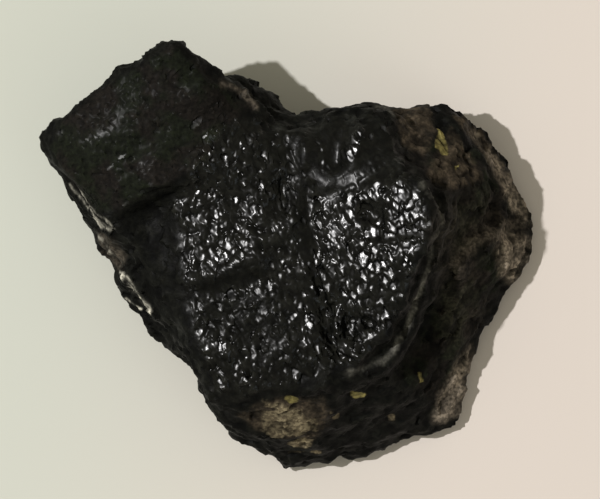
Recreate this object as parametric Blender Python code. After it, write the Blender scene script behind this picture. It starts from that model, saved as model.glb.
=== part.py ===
"""A fist-sized lump of bright coal, as broken from the seam.

The lump lies on a flat parting of its bedding. Seen from above with its long side across, +X is to the
right and +Y points away. Its upper side is drawn the way a surveyor draws ground: break lines and spot
heights in millimetres, which are triangulated, closed underneath by a second set, and then worked:
remeshed, weathered, split along the bedding, grooved and pitted. The last steps thin the mesh out and
cut the parting flat.
"""

import math
from dataclasses import dataclass

import bmesh
import bpy
from mathutils import Vector, geometry, noise

MM = 0.001

# Driving dimensions, in millimetres.
VOXEL = 0.5  # edge of the voxels that the survey is remeshed with
PARTING_DEPTH = 2.0  # how far below the parting the survey is drawn, before it is cut flat
UNEVENNESS = (13.0, 0.5)  # wavelength and height of the slow swells of the surface
SCALLOPS = ((8.5, 0.9), (4.2, 0.3))  # width and depth of the shells that a blow breaks out of coal
BED_THICKNESS = 3.1  # one bed of coal, as it shows on the broken sides
BED_STEP = 1.7  # how far one bed stands out past the next, at most
BED_LENGTH = 17.0  # how far along a side a bed keeps its place
BED_ROLL = (25.0, 1.3)  # wavelength and height of the waves in the bedding
BED_DIP = 0.05  # how steeply the beds rise towards the head, as a slope
BED_EDGE = 0.25  # the share of a bed's thickness over which it steps to the next
BED_SHUFFLE = 7.3  # how far apart two beds lie in the noise that breaks them, so that they break apart

MARK_SIZE = 1.0  # the distance within which a levelling mark counts in full
MARK_FALL = 3.2  # the power of the distance with which it counts for less beyond

MOST_TRIANGLES = 9800  # before the parting is cut
STEEP = 0.75  # a face whose normal rises less than this shows its beds
UPWARD = 0.3  # a face whose normal rises more than this takes the chisel
CHISEL_REACH = 2.5  # how many of its widths away from its path a stroke still cuts
SHARP_ANGLE = 38.0  # an edge that turns by more degrees than this is sharp
MEAN_SCALLOP = 0.6  # of a shell's depth, so that the breaks leave the survey's surface where it is
COAL_BLACK = (0.018, 0.0165, 0.015, 1.0)
FRESH_GLOSS = 0.28  # roughness of a fresh break

# The girdle is the lump's widest line all round, which is what shows against the table from above.
HEAD_GIRDLE = [
    (-12.0, 34.8, 23.5), (-15.0, 37.0, 28.5), (-18.6, 39.8, 31.0), (-20.6, 41.8, 31.0),
    (-23.4, 42.6, 31.0), (-27.0, 40.8, 30.0), (-31.0, 38.2, 28.5), (-33.2, 37.4, 27.5),
    (-35.0, 35.0, 26.5), (-38.0, 32.6, 25.5), (-41.0, 30.6, 25.0), (-43.8, 28.4, 23.5),
    (-46.0, 27.4, 22.5), (-47.8, 25.4, 21.5), (-48.8, 22.8, 19.0), (-47.6, 20.2, 17.5),
]
LEFT_GIRDLE = [
    (-44.6, 15.6, 14.0), (-41.0, 10.4, 12.0), (-38.0, 5.4, 10.0), (-37.2, 3.0, 9.5),
    (-35.0, -0.2, 9.0), (-33.6, -3.4, 8.5), (-32.6, -7.0, 8.0), (-31.6, -9.6, 7.5),
    (-29.0, -11.8, 7.0), (-27.4, -14.6, 7.0), (-24.6, -16.6, 7.0), (-21.0, -20.0, 7.5),
    (-18.4, -22.8, 8.0), (-17.0, -24.6, 8.5), (-16.0, -28.4, 9.0), (-14.4, -31.2, 9.0),
    (-12.6, -34.4, 8.5), (-9.4, -37.0, 8.0),
]
FOOT_GIRDLE = [
    (-4.6, -39.2, 6.5), (-2.0, -40.4, 4.5), (0.2, -42.4, 3.0), (3.0, -43.0, 2.5), (6.0, -42.0, 2.5),
    (9.0, -41.0, 2.5), (10.6, -39.8, 3.0), (12.0, -40.6, 2.5), (16.0, -40.0, 2.5), (19.2, -38.6, 3.0),
    (23.0, -36.8, 3.0), (27.0, -36.0, 3.4), (31.0, -34.6, 3.2), (34.0, -33.2, 3.2), (35.2, -30.6, 3.2),
]
RIGHT_GIRDLE = [
    (35.0, -27.0, 3.4), (36.4, -23.4, 3.4), (37.8, -19.4, 3.5), (37.8, -16.6, 3.5), (39.8, -13.4, 3.5),
    (42.6, -9.4, 3.5), (44.6, -6.0, 3.5), (47.0, -2.4, 3.5), (48.6, 1.8, 3.6), (49.8, 4.6, 3.8),
    (49.4, 8.0, 3.8), (47.6, 11.4, 4.0), (45.6, 15.0, 5.0), (44.4, 18.2, 6.0), (42.6, 22.0, 7.0),
    (39.6, 25.4, 8.5), (36.2, 27.6, 10.5), (32.6, 30.0, 12.0),
]
BACK_GIRDLE = [
    (29.4, 29.8, 13.0), (26.6, 29.8, 14.0), (23.4, 28.6, 15.5), (20.6, 29.4, 16.0), (17.0, 30.1, 17.0),
    (13.0, 29.4, 17.5), (9.0, 28.8, 17.5), (5.0, 28.2, 17.0), (1.4, 27.2, 15.0), (-0.4, 29.4, 14.0),
    (-2.4, 31.6, 14.0), (-4.6, 32.8, 15.0), (-7.2, 33.8, 15.5), (-8.6, 35.0, 17.0),
    (-10.6, 35.7, 19.0),
]
GIRDLE = HEAD_GIRDLE + LEFT_GIRDLE + FOOT_GIRDLE + RIGHT_GIRDLE + BACK_GIRDLE

# Break lines of the upper side. Each runs along a brink, a crest, a groove or the foot of a step.
TOP_LINES = {
    "head brink": [
        (-46.0, 20.4, 20.5), (-47.0, 23.2, 20.5), (-45.6, 25.6, 21.5), (-43.4, 27.4, 22.0),
        (-40.0, 29.8, 23.0), (-36.0, 32.2, 23.5), (-33.0, 35.4, 24.0), (-30.0, 37.0, 24.3),
        (-26.6, 39.0, 24.5), (-22.6, 41.0, 24.5), (-20.2, 39.6, 24.5), (-17.4, 37.2, 24.3),
        (-14.6, 35.0, 24.0), (-12.2, 33.4, 23.0), (-9.0, 32.8, 23.5), (-7.0, 30.8, 24.5),
        (-5.4, 29.0, 25.0), (-3.0, 27.2, 24.5), (-0.4, 26.6, 23.5), (1.6, 26.0, 22.5),
    ],
    "scarp top": [
        (-32.6, 9.8, 27.0), (-30.8, 10.8, 28.0), (-29.0, 12.2, 29.0), (-26.6, 13.4, 29.5),
        (-23.8, 14.6, 30.0), (-20.6, 15.8, 30.0), (-18.2, 17.4, 29.5), (-16.0, 19.0, 29.0),
    ],
    "scarp foot": [
        (-32.2, 8.0, 24.5), (-29.0, 9.8, 24.5), (-26.0, 11.2, 25.0), (-23.0, 12.4, 26.0),
        (-19.8, 13.6, 27.0), (-17.0, 15.4, 27.6), (-14.6, 17.8, 28.0),
    ],
    "left brink": [
        (-44.4, 16.8, 21.5), (-43.4, 14.8, 22.0), (-41.0, 12.0, 23.0), (-38.6, 9.6, 24.0),
        (-36.2, 7.2, 25.0), (-34.2, 5.2, 25.5), (-32.2, 4.4, 25.0), (-29.0, 1.8, 24.6),
        (-26.6, -1.4, 24.6), (-24.4, -5.2, 25.0), (-22.8, -9.0, 25.4), (-21.4, -13.0, 26.0),
        (-19.4, -18.0, 26.4), (-17.8, -21.6, 26.0), (-16.2, -25.4, 25.0), (-14.8, -28.8, 23.5),
        (-12.8, -31.6, 21.5), (-10.4, -33.8, 19.5), (-7.0, -35.8, 16.5), (-4.2, -37.4, 13.0),
    ],
    "upper flake": [
        (-32.2, -4.4, 19.0), (-29.8, -6.8, 19.5), (-27.4, -9.4, 19.0), (-25.8, -11.6, 18.0),
    ],
    "upper flake foot": [
        (-31.8, -5.4, 15.0), (-30.0, -7.6, 14.5), (-27.8, -10.2, 14.5), (-26.0, -12.2, 14.5),
    ],
    "lower flake": [(-30.2, -9.6, 11.5), (-28.6, -11.0, 11.0), (-26.6, -13.0, 11.0)],
    "smooth band": [(-19.0, -4.8, 28.3), (-14.0, -3.0, 29.6), (-9.0, -1.4, 30.6), (-4.6, 0.0, 31.2)],
    "band groove": [
        (-18.6, -7.6, 27.7), (-14.0, -7.0, 28.6), (-9.4, -6.0, 29.4), (-5.0, -4.6, 30.0),
        (-2.2, -3.4, 30.4),
    ],
    "first groove": [
        (1.0, 23.6, 27.6), (0.8, 20.6, 28.2), (0.2, 17.0, 28.6), (-0.4, 13.0, 28.8), (-0.8, 9.8, 29.4),
    ],
    "groove ridge": [
        (2.2, 23.0, 29.0), (3.0, 19.4, 29.8), (2.2, 15.0, 30.2), (1.8, 11.0, 30.6), (1.2, 7.8, 31.0),
    ],
    "second groove": [
        (3.6, 15.4, 29.5), (4.0, 11.0, 29.5), (4.6, 7.0, 29.9), (5.6, 3.0, 30.2), (6.2, -1.0, 30.3),
        (6.6, -5.0, 30.2), (7.4, -9.0, 30.0), (8.2, -13.0, 29.7), (9.2, -16.6, 29.4),
        (11.2, -19.4, 29.5), (13.4, -21.2, 29.4),
    ],
    "left ridge": [
        (3.8, 1.0, 31.2), (4.6, -3.0, 31.5), (5.4, -7.0, 31.5), (5.2, -11.4, 31.0), (5.4, -14.6, 30.9),
        (6.6, -17.8, 30.6), (8.4, -20.2, 30.3), (10.8, -22.0, 29.9),
    ],
    "right ridge": [
        (7.6, -2.6, 32.0), (8.6, -6.0, 32.0), (9.6, -9.4, 31.6), (9.8, -12.6, 31.4),
        (10.4, -15.8, 31.3), (12.0, -18.2, 31.2), (14.2, -20.0, 31.0),
    ],
    "glint crest": [(10.6, 12.6, 32.6), (13.4, 14.4, 33.4), (15.6, 16.0, 33.6), (17.4, 17.2, 33.4)],
    "crescent": [
        (12.2, 7.8, 33.0), (13.2, 10.0, 34.0), (15.0, 12.0, 34.8), (17.4, 13.4, 35.3),
        (19.4, 14.2, 35.5),
    ],
    "rim groove": [(17.4, 2.0, 35.0), (21.4, 2.4, 36.4), (25.0, 3.3, 37.2)],
    "pit ridge": [(13.4, -10.6, 33.6), (14.4, -13.0, 33.8), (15.4, -15.4, 33.6)],
    "plateau rim": [
        (3.0, 26.0, 24.5), (6.6, 27.0, 25.0), (10.0, 27.8, 25.2), (13.4, 28.4, 25.2),
        (16.6, 29.0, 24.5), (19.0, 28.4, 24.8), (20.6, 27.0, 26.0), (21.2, 24.6, 28.5),
        (22.2, 21.6, 30.5), (22.8, 18.6, 32.4), (23.4, 16.4, 34.4), (25.0, 15.2, 35.8),
        (26.6, 13.6, 36.9), (27.8, 11.4, 37.6), (28.4, 8.6, 38.0), (28.0, 5.8, 38.0),
        (27.0, 3.2, 37.7), (26.6, 0.6, 37.9), (25.8, -2.2, 37.9), (24.8, -5.6, 37.6),
        (23.6, -8.6, 37.3), (22.4, -11.6, 36.8), (20.8, -14.6, 36.0), (18.6, -17.4, 34.6),
        (16.4, -19.8, 32.8), (14.2, -22.0, 30.8), (12.2, -24.0, 28.8),
    ],
    "rim foot": [
        (22.6, 26.6, 23.0), (23.4, 24.2, 25.5), (24.2, 21.4, 27.6), (25.4, 18.6, 29.4),
        (27.4, 16.2, 30.6), (29.2, 13.8, 30.5), (30.2, 11.0, 30.7), (30.4, 8.2, 30.7),
        (29.8, 5.4, 30.7), (28.8, 2.6, 30.7), (28.4, 0.0, 30.8), (27.6, -3.0, 30.7),
        (26.4, -6.2, 30.5), (25.2, -9.2, 30.1), (24.0, -12.2, 29.8), (22.4, -15.2, 29.5),
        (20.6, -17.8, 29.0), (18.4, -20.0, 28.5), (16.2, -21.8, 27.9), (14.0, -23.6, 27.3),
    ],
    "ledge crest": [
        (31.2, 11.8, 32.5), (31.8, 9.0, 32.2), (31.6, 6.6, 31.9), (30.4, 4.0, 32.1), (30.4, 1.0, 32.4),
        (29.8, -1.8, 32.2), (28.6, -4.8, 32.0), (27.4, -7.6, 31.8), (26.4, -10.4, 31.4),
        (25.2, -13.4, 31.1), (23.8, -16.6, 30.7), (22.2, -19.2, 30.2), (20.0, -21.2, 29.2),
        (17.6, -22.6, 28.9), (15.2, -24.2, 27.4), (13.0, -25.4, 27.4), (10.0, -26.0, 27.2),
        (5.0, -26.4, 27.2), (0.0, -27.2, 26.8), (-5.4, -28.4, 26.0), (-10.0, -29.0, 25.0),
    ],
    "ledge foot": [
        (33.4, 10.0, 24.6), (33.8, 6.0, 23.6), (32.6, 2.0, 23.8), (31.8, -2.0, 23.4),
        (30.4, -5.6, 22.6), (29.2, -9.0, 22.0), (28.0, -12.4, 21.4), (26.6, -16.0, 21.1),
        (24.8, -19.2, 21.0), (22.6, -21.8, 21.2), (20.2, -23.8, 21.6), (17.8, -25.4, 22.2),
        (15.4, -26.6, 22.8),
    ],
    "first knob": [(24.6, 27.2, 20.0), (26.6, 28.0, 20.0), (28.2, 27.2, 19.4), (28.8, 25.8, 19.6)],
    "knob cleft": [(29.8, 28.4, 16.5), (29.6, 26.6, 18.0)],
    "second knob": [(31.2, 28.6, 17.0), (32.4, 27.8, 16.6)],
    "strip inner": [
        (33.4, 26.8, 16.8), (35.4, 24.0, 16.2), (37.4, 21.0, 15.6), (39.8, 17.8, 14.8),
        (42.0, 14.8, 13.8), (43.8, 12.4, 12.8), (45.6, 9.8, 11.4), (47.6, 7.2, 9.6),
    ],
    "strip outer": [
        (34.4, 27.4, 14.6), (36.8, 24.8, 13.2), (39.0, 21.8, 12.4), (41.2, 18.6, 11.6),
        (43.4, 15.6, 10.6), (45.4, 12.8, 9.6), (47.2, 9.8, 8.4), (48.6, 7.2, 7.4),
    ],
    "shelf ridge": [
        (35.0, -1.2, 25.0), (36.2, 0.8, 24.8), (38.0, 2.4, 24.0), (40.4, 3.8, 22.8), (42.4, 5.4, 21.2),
        (43.4, 7.0, 19.0),
    ],
    "shelf ridge foot": [(35.4, 4.0, 22.2), (37.8, 5.8, 20.4), (40.2, 7.6, 17.8), (42.0, 9.2, 15.0)],
    "shelf brink": [
        (48.0, 3.4, 11.0), (47.2, 0.6, 11.4), (45.8, -2.2, 11.8), (43.8, -5.2, 12.2),
        (41.8, -8.0, 12.4), (39.4, -11.0, 12.6), (37.2, -13.6, 13.0), (35.6, -16.0, 13.6),
        (34.4, -18.6, 14.4), (32.8, -21.2, 15.0), (31.2, -24.0, 15.2), (29.8, -27.0, 14.8),
        (28.4, -29.6, 14.0), (26.6, -31.8, 13.0), (23.8, -33.6, 12.0), (20.0, -35.2, 11.0),
        (16.0, -36.4, 10.4), (12.4, -37.2, 10.0),
    ],
    "foot brink": [
        (-3.0, -38.8, 9.0), (-0.8, -40.2, 8.0), (2.2, -41.2, 6.6), (5.8, -40.4, 6.6),
        (9.0, -39.4, 7.0),
    ],
}

# Spot heights on the faces between those lines.
TOP_SPOTS = [
    # head
    (-37.0, 23.0, 25.5), (-31.0, 27.0, 27.0), (-25.0, 33.0, 27.0), (-19.0, 31.0, 28.0),
    (-19.0, 25.0, 29.0), (-27.0, 21.0, 29.0), (-35.0, 16.0, 27.0), (-40.0, 19.0, 24.8),
    (-11.0, 27.0, 28.0), (-14.0, 31.0, 27.0), (-17.0, 35.0, 26.0),
    # basin below the scarp, and the middle of the lump
    (-30.0, 6.4, 24.0), (-27.0, 5.8, 24.0), (-24.0, 8.0, 25.0), (-27.0, 2.6, 24.6),
    (-21.0, 10.0, 27.5), (-17.0, 11.0, 28.3), (-21.0, 5.0, 27.3), (-17.0, 3.0, 28.3),
    (-11.0, 11.0, 29.3), (-11.0, 3.0, 29.8), (-5.0, 17.0, 29.5), (-5.0, 7.0, 30.2), (-7.0, 23.0, 28.5),
    (-12.0, 21.0, 28.8), (-3.0, 2.0, 30.8), (-24.0, 1.0, 26.0), (-21.0, -2.0, 27.3),
    # lower left
    (-17.0, -13.0, 28.0), (-11.0, -11.0, 29.0), (-4.6, -10.6, 30.0), (-0.6, -9.0, 30.6),
    (-13.0, -19.0, 28.4), (-7.0, -19.0, 29.4), (0.0, -18.0, 30.2), (-12.0, -26.0, 26.4),
    (-6.0, -25.0, 27.8), (0.0, -23.4, 28.8),
    # plateau
    (7.0, 21.0, 30.0), (10.0, 25.0, 29.2), (13.4, 25.8, 28.8), (16.6, 26.6, 28.0), (19.4, 25.4, 28.6),
    (12.2, 20.6, 31.6), (17.0, 21.0, 31.5), (20.2, 19.0, 32.4), (8.0, 11.0, 31.2), (7.4, 6.0, 31.4),
    (22.0, 12.6, 36.4), (23.0, 8.6, 37.2), (19.4, 6.0, 35.8), (15.0, 4.0, 34.2), (11.0, 2.6, 32.8),
    (13.0, -1.4, 33.6), (18.0, -1.4, 35.6), (22.4, -1.4, 37.2), (17.0, -6.0, 35.2), (20.6, -9.0, 36.2),
    (13.0, -6.6, 33.2), (19.4, -14.0, 35.2), (16.2, -18.0, 33.0),
    # upper right
    (25.4, 23.0, 24.6), (28.0, 20.6, 25.6), (31.0, 17.0, 26.6), (29.4, 15.4, 28.5), (34.0, 14.0, 25.6),
    (32.6, 19.4, 23.2), (31.0, 22.4, 21.6), (29.0, 24.2, 21.0), (33.6, 23.6, 18.8), (35.4, 20.6, 18.6),
    (37.0, 16.6, 20.8), (38.6, 13.0, 20.6), (36.0, 10.4, 23.6), (40.4, 10.4, 18.4), (44.0, 9.4, 12.6),
    (44.6, 6.6, 12.6), (46.6, 4.8, 11.6),
    # right shelf
    (34.2, -5.4, 22.0), (37.4, -4.0, 21.0), (40.4, -2.0, 19.4), (41.4, 1.0, 18.6), (44.0, 2.4, 16.6),
    (33.4, -10.0, 20.4), (38.0, -8.4, 18.4), (41.4, -5.6, 16.0), (31.0, -14.0, 19.8),
    (34.0, -14.0, 17.6), (28.0, -20.4, 19.8), (30.4, -18.0, 18.6), (25.0, -24.6, 19.6),
    (28.0, -25.0, 18.0), (23.0, -28.0, 18.6), (25.4, -29.0, 16.6), (20.0, -30.0, 18.8),
    (16.0, -30.0, 20.2), (12.0, -29.4, 22.0), (16.0, -33.0, 15.6), (21.0, -33.0, 14.6),
    # foot
    (-2.6, -30.6, 23.0), (1.0, -29.4, 23.6), (5.4, -29.8, 23.0), (9.0, -30.2, 22.2),
    (-3.4, -34.4, 18.6), (0.2, -34.2, 18.8), (3.8, -34.4, 18.0), (7.4, -34.6, 16.8),
    (10.6, -33.8, 17.0), (-0.6, -37.6, 13.6), (3.0, -38.0, 12.4), (7.0, -37.8, 11.6),
]

# How far the upper side was put up at marks across it, after its slopes had been levelled.
LEVEL_MARKS = [
    # head
    (-22.6, 41.0, 8.5), (-15.0, 35.4, 7.5), (-31.0, 27.0, 3.5), (-46.0, 22.0, 3.5), (-38.0, 32.0, 5.0),
    (-23.8, 14.6, 1.0), (-32.0, 10.0, 1.0), (-16.0, 19.0, 1.5), (-11.0, 27.0, 2.0), (-7.0, 30.8, 2.5),
    (-27.0, 5.8, 0.0),
    # middle and lower left
    (-11.0, 11.0, -1.3), (-11.0, 3.0, -1.8), (-5.0, 17.0, -1.0), (4.0, 10.0, -1.8), (0.0, 27.0, 0.0),
    (-11.0, -11.0, -2.0), (-7.0, -19.0, -2.6), (0.0, -23.4, -2.0), (-20.0, 0.0, -0.8), (-22.0, -9.0, -0.8),
    (-18.0, -20.0, -0.8), (-12.0, -26.0, -0.4),
    # plateau
    (6.0, 2.0, -2.2), (7.4, -9.0, -3.2), (11.2, -19.4, -3.5), (28.4, 8.6, -2.6), (26.6, 0.6, -4.0),
    (24.8, -5.6, -6.4), (22.4, -11.6, -6.8), (18.6, -17.4, -5.6), (14.2, -22.0, -3.4), (10.0, 25.0, -0.8),
    (16.6, 26.6, -0.5), (23.4, 16.4, -1.4), (13.0, -1.4, -3.2), (17.0, -6.0, -4.6), (16.0, 4.0, -2.8),
    # ledge below the plateau
    (31.6, 6.6, -1.2), (29.8, -1.8, -3.4), (27.4, -7.6, -5.2), (25.4, -13.0, -6.6), (23.8, -16.6, -5.8),
    (15.2, -24.2, -1.6), (5.0, -26.4, -0.9), (-5.4, -28.4, 0.0), (0.0, -27.2, -0.2),
    # upper right
    (34.0, 14.0, -1.0), (30.0, 24.0, 0.0), (38.0, 18.0, -2.0), (44.0, 12.0, -4.0), (44.0, 18.0, -2.0),
    (36.0, 27.0, -1.5),
    # right shelf
    (34.0, -2.0, -2.6), (36.6, 1.0, -5.0), (40.0, 4.0, -6.8), (42.0, -1.0, -6.6), (45.0, 6.0, -7.0),
    (41.0, -7.0, -7.0), (37.0, -11.0, -7.4), (33.0, -14.0, -5.6), (30.4, -18.0, -5.0), (32.0, -23.0, -5.6),
    (25.0, -28.0, -3.6), (20.0, -25.0, -1.8), (30.0, -29.0, -6.0), (22.0, -34.0, -4.4),
    # flanks and foot
    (-37.0, 3.0, 0.0), (-31.0, -6.0, 0.0), (-28.0, -12.0, 0.0), (-14.0, -31.0, 0.0), (3.0, -43.0, 0.0),
    (20.0, -38.0, -4.0), (35.0, -30.0, -6.0), (38.0, -18.0, -5.0), (46.0, -4.0, -5.0), (49.0, 5.0, -4.6),
    (0.0, -34.0, 0.0), (12.0, -38.0, -1.5),
]

# The underside. The head and the knobs overhang, and the rest comes down close inside the girdle.
UNDER_LINES = {
    "head underside": [
        (-14.0, 33.0, 13.0), (-22.0, 38.6, 17.5), (-30.0, 34.6, 16.5), (-38.0, 29.0, 15.0),
        (-45.0, 23.5, 12.5), (-42.6, 16.6, 10.5),
    ],
    "head root": [
        (-6.0, 28.0, 10.5), (-15.0, 26.0, 11.5), (-24.0, 20.0, 11.0), (-32.0, 14.0, 9.0),
        (-35.0, 8.0, 6.5),
    ],
    "knob underside": [
        (6.0, 25.6, 10.0), (16.0, 26.6, 10.0), (26.0, 26.4, 8.5), (33.6, 25.6, 7.0), (38.6, 21.4, 5.0),
    ],
    "foot underside": [(-14.0, -27.0, 4.5), (-10.6, -33.4, 4.0), (-4.0, -36.6, 3.0)],
}
PARTING = [
    (-1.0, 21.5), (-9.0, 20.5), (-14.0, 16.0), (-20.0, 13.5), (-26.0, 9.0), (-30.4, 5.0),
    (-29.4, -0.5), (-27.0, -6.0), (-25.6, -10.5), (-21.0, -14.5), (-16.5, -18.0), (-13.0, -23.0),
    (-9.5, -29.0), (-4.5, -33.5), (0.5, -39.0), (8.5, -38.0), (14.5, -37.6), (21.0, -34.5),
    (28.0, -32.5), (32.4, -29.5), (32.6, -24.0), (35.0, -18.5), (36.2, -13.5), (41.5, -6.5),
    (45.5, 0.0), (46.6, 5.0), (44.0, 11.0), (40.5, 16.5), (34.0, 20.5), (25.0, 22.0), (15.0, 22.5),
    (6.0, 21.0),
]


@dataclass(frozen=True)
class Stroke:
    """One stroke of the chisel along a path: a groove if its depth is positive, a rib if it is negative."""

    path: tuple
    width: float
    depth: float


# What is too small for the survey: the shrinkage grooves, ribs and pits of the glossy upper side.
STROKES = [
    Stroke(((-0.6, 23.0), (0.4, 17.5), (-0.6, 11.0)), 1.1, 0.5),
    Stroke(((3.6, 16.0), (4.2, 9.0), (5.8, 2.0)), 1.0, 0.45),
    Stroke(((6.6, 0.0), (6.6, -5.0), (8.0, -11.0), (9.2, -16.4), (12.4, -20.4)), 1.1, 0.6),
    Stroke(((4.6, -3.0), (5.6, -7.4)), 0.9, -0.5),
    Stroke(((7.6, -3.6), (9.2, -9.0)), 0.9, -0.7),
    Stroke(((5.0, -11.0), (5.6, -15.0), (8.6, -20.4)), 0.8, -0.8),
    Stroke(((10.4, -11.0), (9.8, -14.0), (11.6, -18.0), (14.6, -20.2)), 0.8, -0.8),
    Stroke(((13.0, -12.8), (13.0, -15.4)), 1.9, 2.0),
    Stroke(((16.8, -13.0), (17.0, -13.8)), 1.3, 1.5),
    Stroke(((15.6, 9.6), (17.8, 8.4)), 1.8, 1.5),
    Stroke(((10.4, 23.6), (9.6, 18.6)), 1.8, 1.1),
    Stroke(((12.6, 19.8), (14.6, 24.0)), 1.3, -0.9),
    Stroke(((9.0, 12.0), (14.0, 14.6), (19.0, 18.0)), 1.3, 0.8),
    Stroke(((17.0, 2.2), (21.0, 2.4), (25.6, 3.6)), 0.9, 0.5),
    Stroke(((-20.0, -5.4), (-12.0, -2.8), (-5.0, 0.0)), 1.2, -0.4),
    Stroke(((-17.0, -7.6), (-9.0, -6.0), (-2.6, -3.4)), 1.0, 0.5),
    Stroke(((-24.4, -4.0), (-22.8, -10.0), (-20.4, -16.0)), 0.8, 0.6),
    Stroke(((-8.0, -15.0), (-3.0, -16.4)), 1.8, 0.6),
    Stroke(((-14.6, -13.0), (-12.4, -11.4)), 1.5, 0.5),
    Stroke(((-27.0, 8.6), (-22.0, 10.8)), 1.6, 0.6),
    Stroke(((20.6, 26.6), (22.4, 23.0), (22.4, 20.0)), 0.8, 0.7),
    Stroke(((29.6, 28.8), (29.4, 25.4)), 0.8, 0.8),
    Stroke(((31.0, 26.0), (31.4, 20.6)), 1.4, 0.8),
    Stroke(((9.6, -35.0), (10.4, -40.0)), 0.9, 0.9),
]


def clear_scene():
    """Empty the scene of whatever it starts with."""
    for obj in list(bpy.data.objects):
        bpy.data.objects.remove(obj)


def inside(outline, x, y):
    """Whether a point of the plan lies inside an outline."""
    crossings = 0
    for (x1, y1, _), (x2, y2, _) in zip(outline, outline[1:] + outline[:1]):
        if (y1 > y) != (y2 > y) and x < x1 + (y - y1) * (x2 - x1) / (y2 - y1):
            crossings += 1
    return crossings % 2 == 1


def triangulated(outline, lines, spots):
    """The points and triangles that join an outline, break lines and spot heights, as surveyors do."""
    points = [*outline]
    edges = [(i, (i + 1) % len(outline)) for i in range(len(outline))]
    for line in lines:
        first = len(points)
        points += line
        edges += [(i, i + 1) for i in range(first, len(points) - 1)]
    points += spots
    plan = [Vector(point[:2]) for point in points]
    found = geometry.delaunay_2d_cdt(plan, edges, [], 0, 1e-5, True)
    triangles, sources = found[2], found[3]
    if len(sources) != len(points):
        raise ValueError("two break lines cross or touch")
    placed = [points[source[0]] for source in sources]
    kept = []
    for triangle in triangles:
        x, y, _ = sum((Vector(placed[i]) for i in triangle), Vector()) / 3
        if inside(outline, x, y):
            kept.append(triangle)
    return placed, kept


def levelled(point):
    """A point of the upper side, put up by the mean of the levelling marks, the nearest counting most."""
    x, y, z = point
    put_up = counted = 0.0
    for mark_x, mark_y, rise in LEVEL_MARKS:
        squared = (x - mark_x) ** 2 + (y - mark_y) ** 2 + MARK_SIZE**2
        share = squared ** (-MARK_FALL / 2)
        put_up += share * rise
        counted += share
    return x, y, z + put_up / counted


def survey_mesh():
    """The lump as surveyed: its upper side and its underside, which meet at the girdle."""
    parting = [(x, y, -PARTING_DEPTH) for x, y in PARTING]
    lines = [[levelled(point) for point in line] for line in TOP_LINES.values()]
    spots = [levelled(spot) for spot in TOP_SPOTS]
    upper = triangulated(GIRDLE, lines, spots)
    under = triangulated(GIRDLE, [*UNDER_LINES.values(), parting], [])
    bm = bmesh.new()
    for points, triangles in (upper, under):
        made = [bm.verts.new(Vector(point) * MM) for point in points]
        for triangle in triangles:
            bm.faces.new([made[i] for i in triangle])
    bmesh.ops.remove_doubles(bm, verts=bm.verts, dist=0.01 * MM)
    bmesh.ops.recalc_face_normals(bm, faces=bm.faces)
    return finished_mesh(bm, "survey")


def finished_mesh(bm, name):
    """The bmesh as a mesh of that name."""
    mesh = bpy.data.meshes.new(name)
    bm.to_mesh(mesh)
    bm.free()
    return mesh


def with_modifier(mesh, kind, **settings):
    """The mesh as one modifier leaves it."""
    holder = bpy.data.objects.new("holder", mesh)
    bpy.context.scene.collection.objects.link(holder)
    modifier = holder.modifiers.new(kind.lower(), kind)
    for setting, value in settings.items():
        setattr(modifier, setting, value)
    graph = bpy.context.evaluated_depsgraph_get()
    made = bpy.data.meshes.new_from_object(holder.evaluated_get(graph))
    bpy.data.objects.remove(holder)
    return made


def distance_to_path(x, y, path):
    """How far a point of the plan is from a path, in millimetres."""
    here = Vector((x, y))
    nearest = math.inf
    for start, end in zip(path, path[1:]):
        a, b = Vector(start), Vector(end)
        along = (here - a).dot(b - a) / max((b - a).length_squared, 1e-9)
        nearest = min(nearest, (a.lerp(b, min(max(along, 0.0), 1.0)) - here).length)
    return nearest


def scalloped(place, width):
    """How deep the surface lies where it is broken into shells of a width: 0 on the ridges between them."""
    distances, _ = noise.voronoi(place / (width * MM))
    return min(distances[1] - distances[0], 0.5) * 2.0


def weather(bm):
    """Break the surface into shells, deeper across the beds, and let it swell and sink a little."""
    wavelength, height = UNEVENNESS
    for vert in bm.verts:
        swell = noise.noise(vert.co / (wavelength * MM)) * height
        shells = sum((scalloped(vert.co, width) - MEAN_SCALLOP) * depth for width, depth in SCALLOPS)
        across_beds = 1.5 - abs(vert.normal.z)
        vert.co += vert.normal * (swell - shells * across_beds) * MM
    bm.normal_update()


def bed_edge(x, y, bed):
    """How far one bed breaks off outside the lump's mean side, as a share of the largest step."""
    return noise.noise(Vector((x / BED_LENGTH, y / BED_LENGTH, BED_SHUFFLE * bed)))


def bed_offset(x, y, z):
    """How far the bed at a height stands out, in millimetres: each bed breaks off at its own place."""
    wavelength, height = BED_ROLL
    roll = height * noise.noise(Vector((x, y, 0.0)) / wavelength)
    level = (z + BED_DIP * x + roll) / BED_THICKNESS
    bed = math.floor(level)
    over_edge = min((level - bed) / BED_EDGE, 1.0)
    below = bed_edge(x, y, bed - 1)
    return BED_STEP * (below + (bed_edge(x, y, bed) - below) * over_edge)


def split_beds(bm):
    """Step the steep sides along the bedding."""
    for vert in bm.verts:
        steepness = 1.0 - min(abs(vert.normal.z) / STEEP, 1.0)
        if steepness > 0.0:
            x, y, z = vert.co / MM
            outwards = Vector((vert.normal.x, vert.normal.y, 0.0)).normalized()
            vert.co += outwards * bed_offset(x, y, z) * min(steepness * 2.0, 1.0) * MM
    bm.normal_update()


def chisel(bm):
    """Cut the grooves and pits into the upper side, and raise its ribs."""
    for stroke in STROKES:
        for vert in bm.verts:
            if vert.normal.z > UPWARD:
                away = distance_to_path(vert.co.x / MM, vert.co.y / MM, stroke.path) / stroke.width
                if away < CHISEL_REACH:
                    vert.co.z -= stroke.depth * math.exp(-away * away) * MM
    bm.normal_update()


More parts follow.
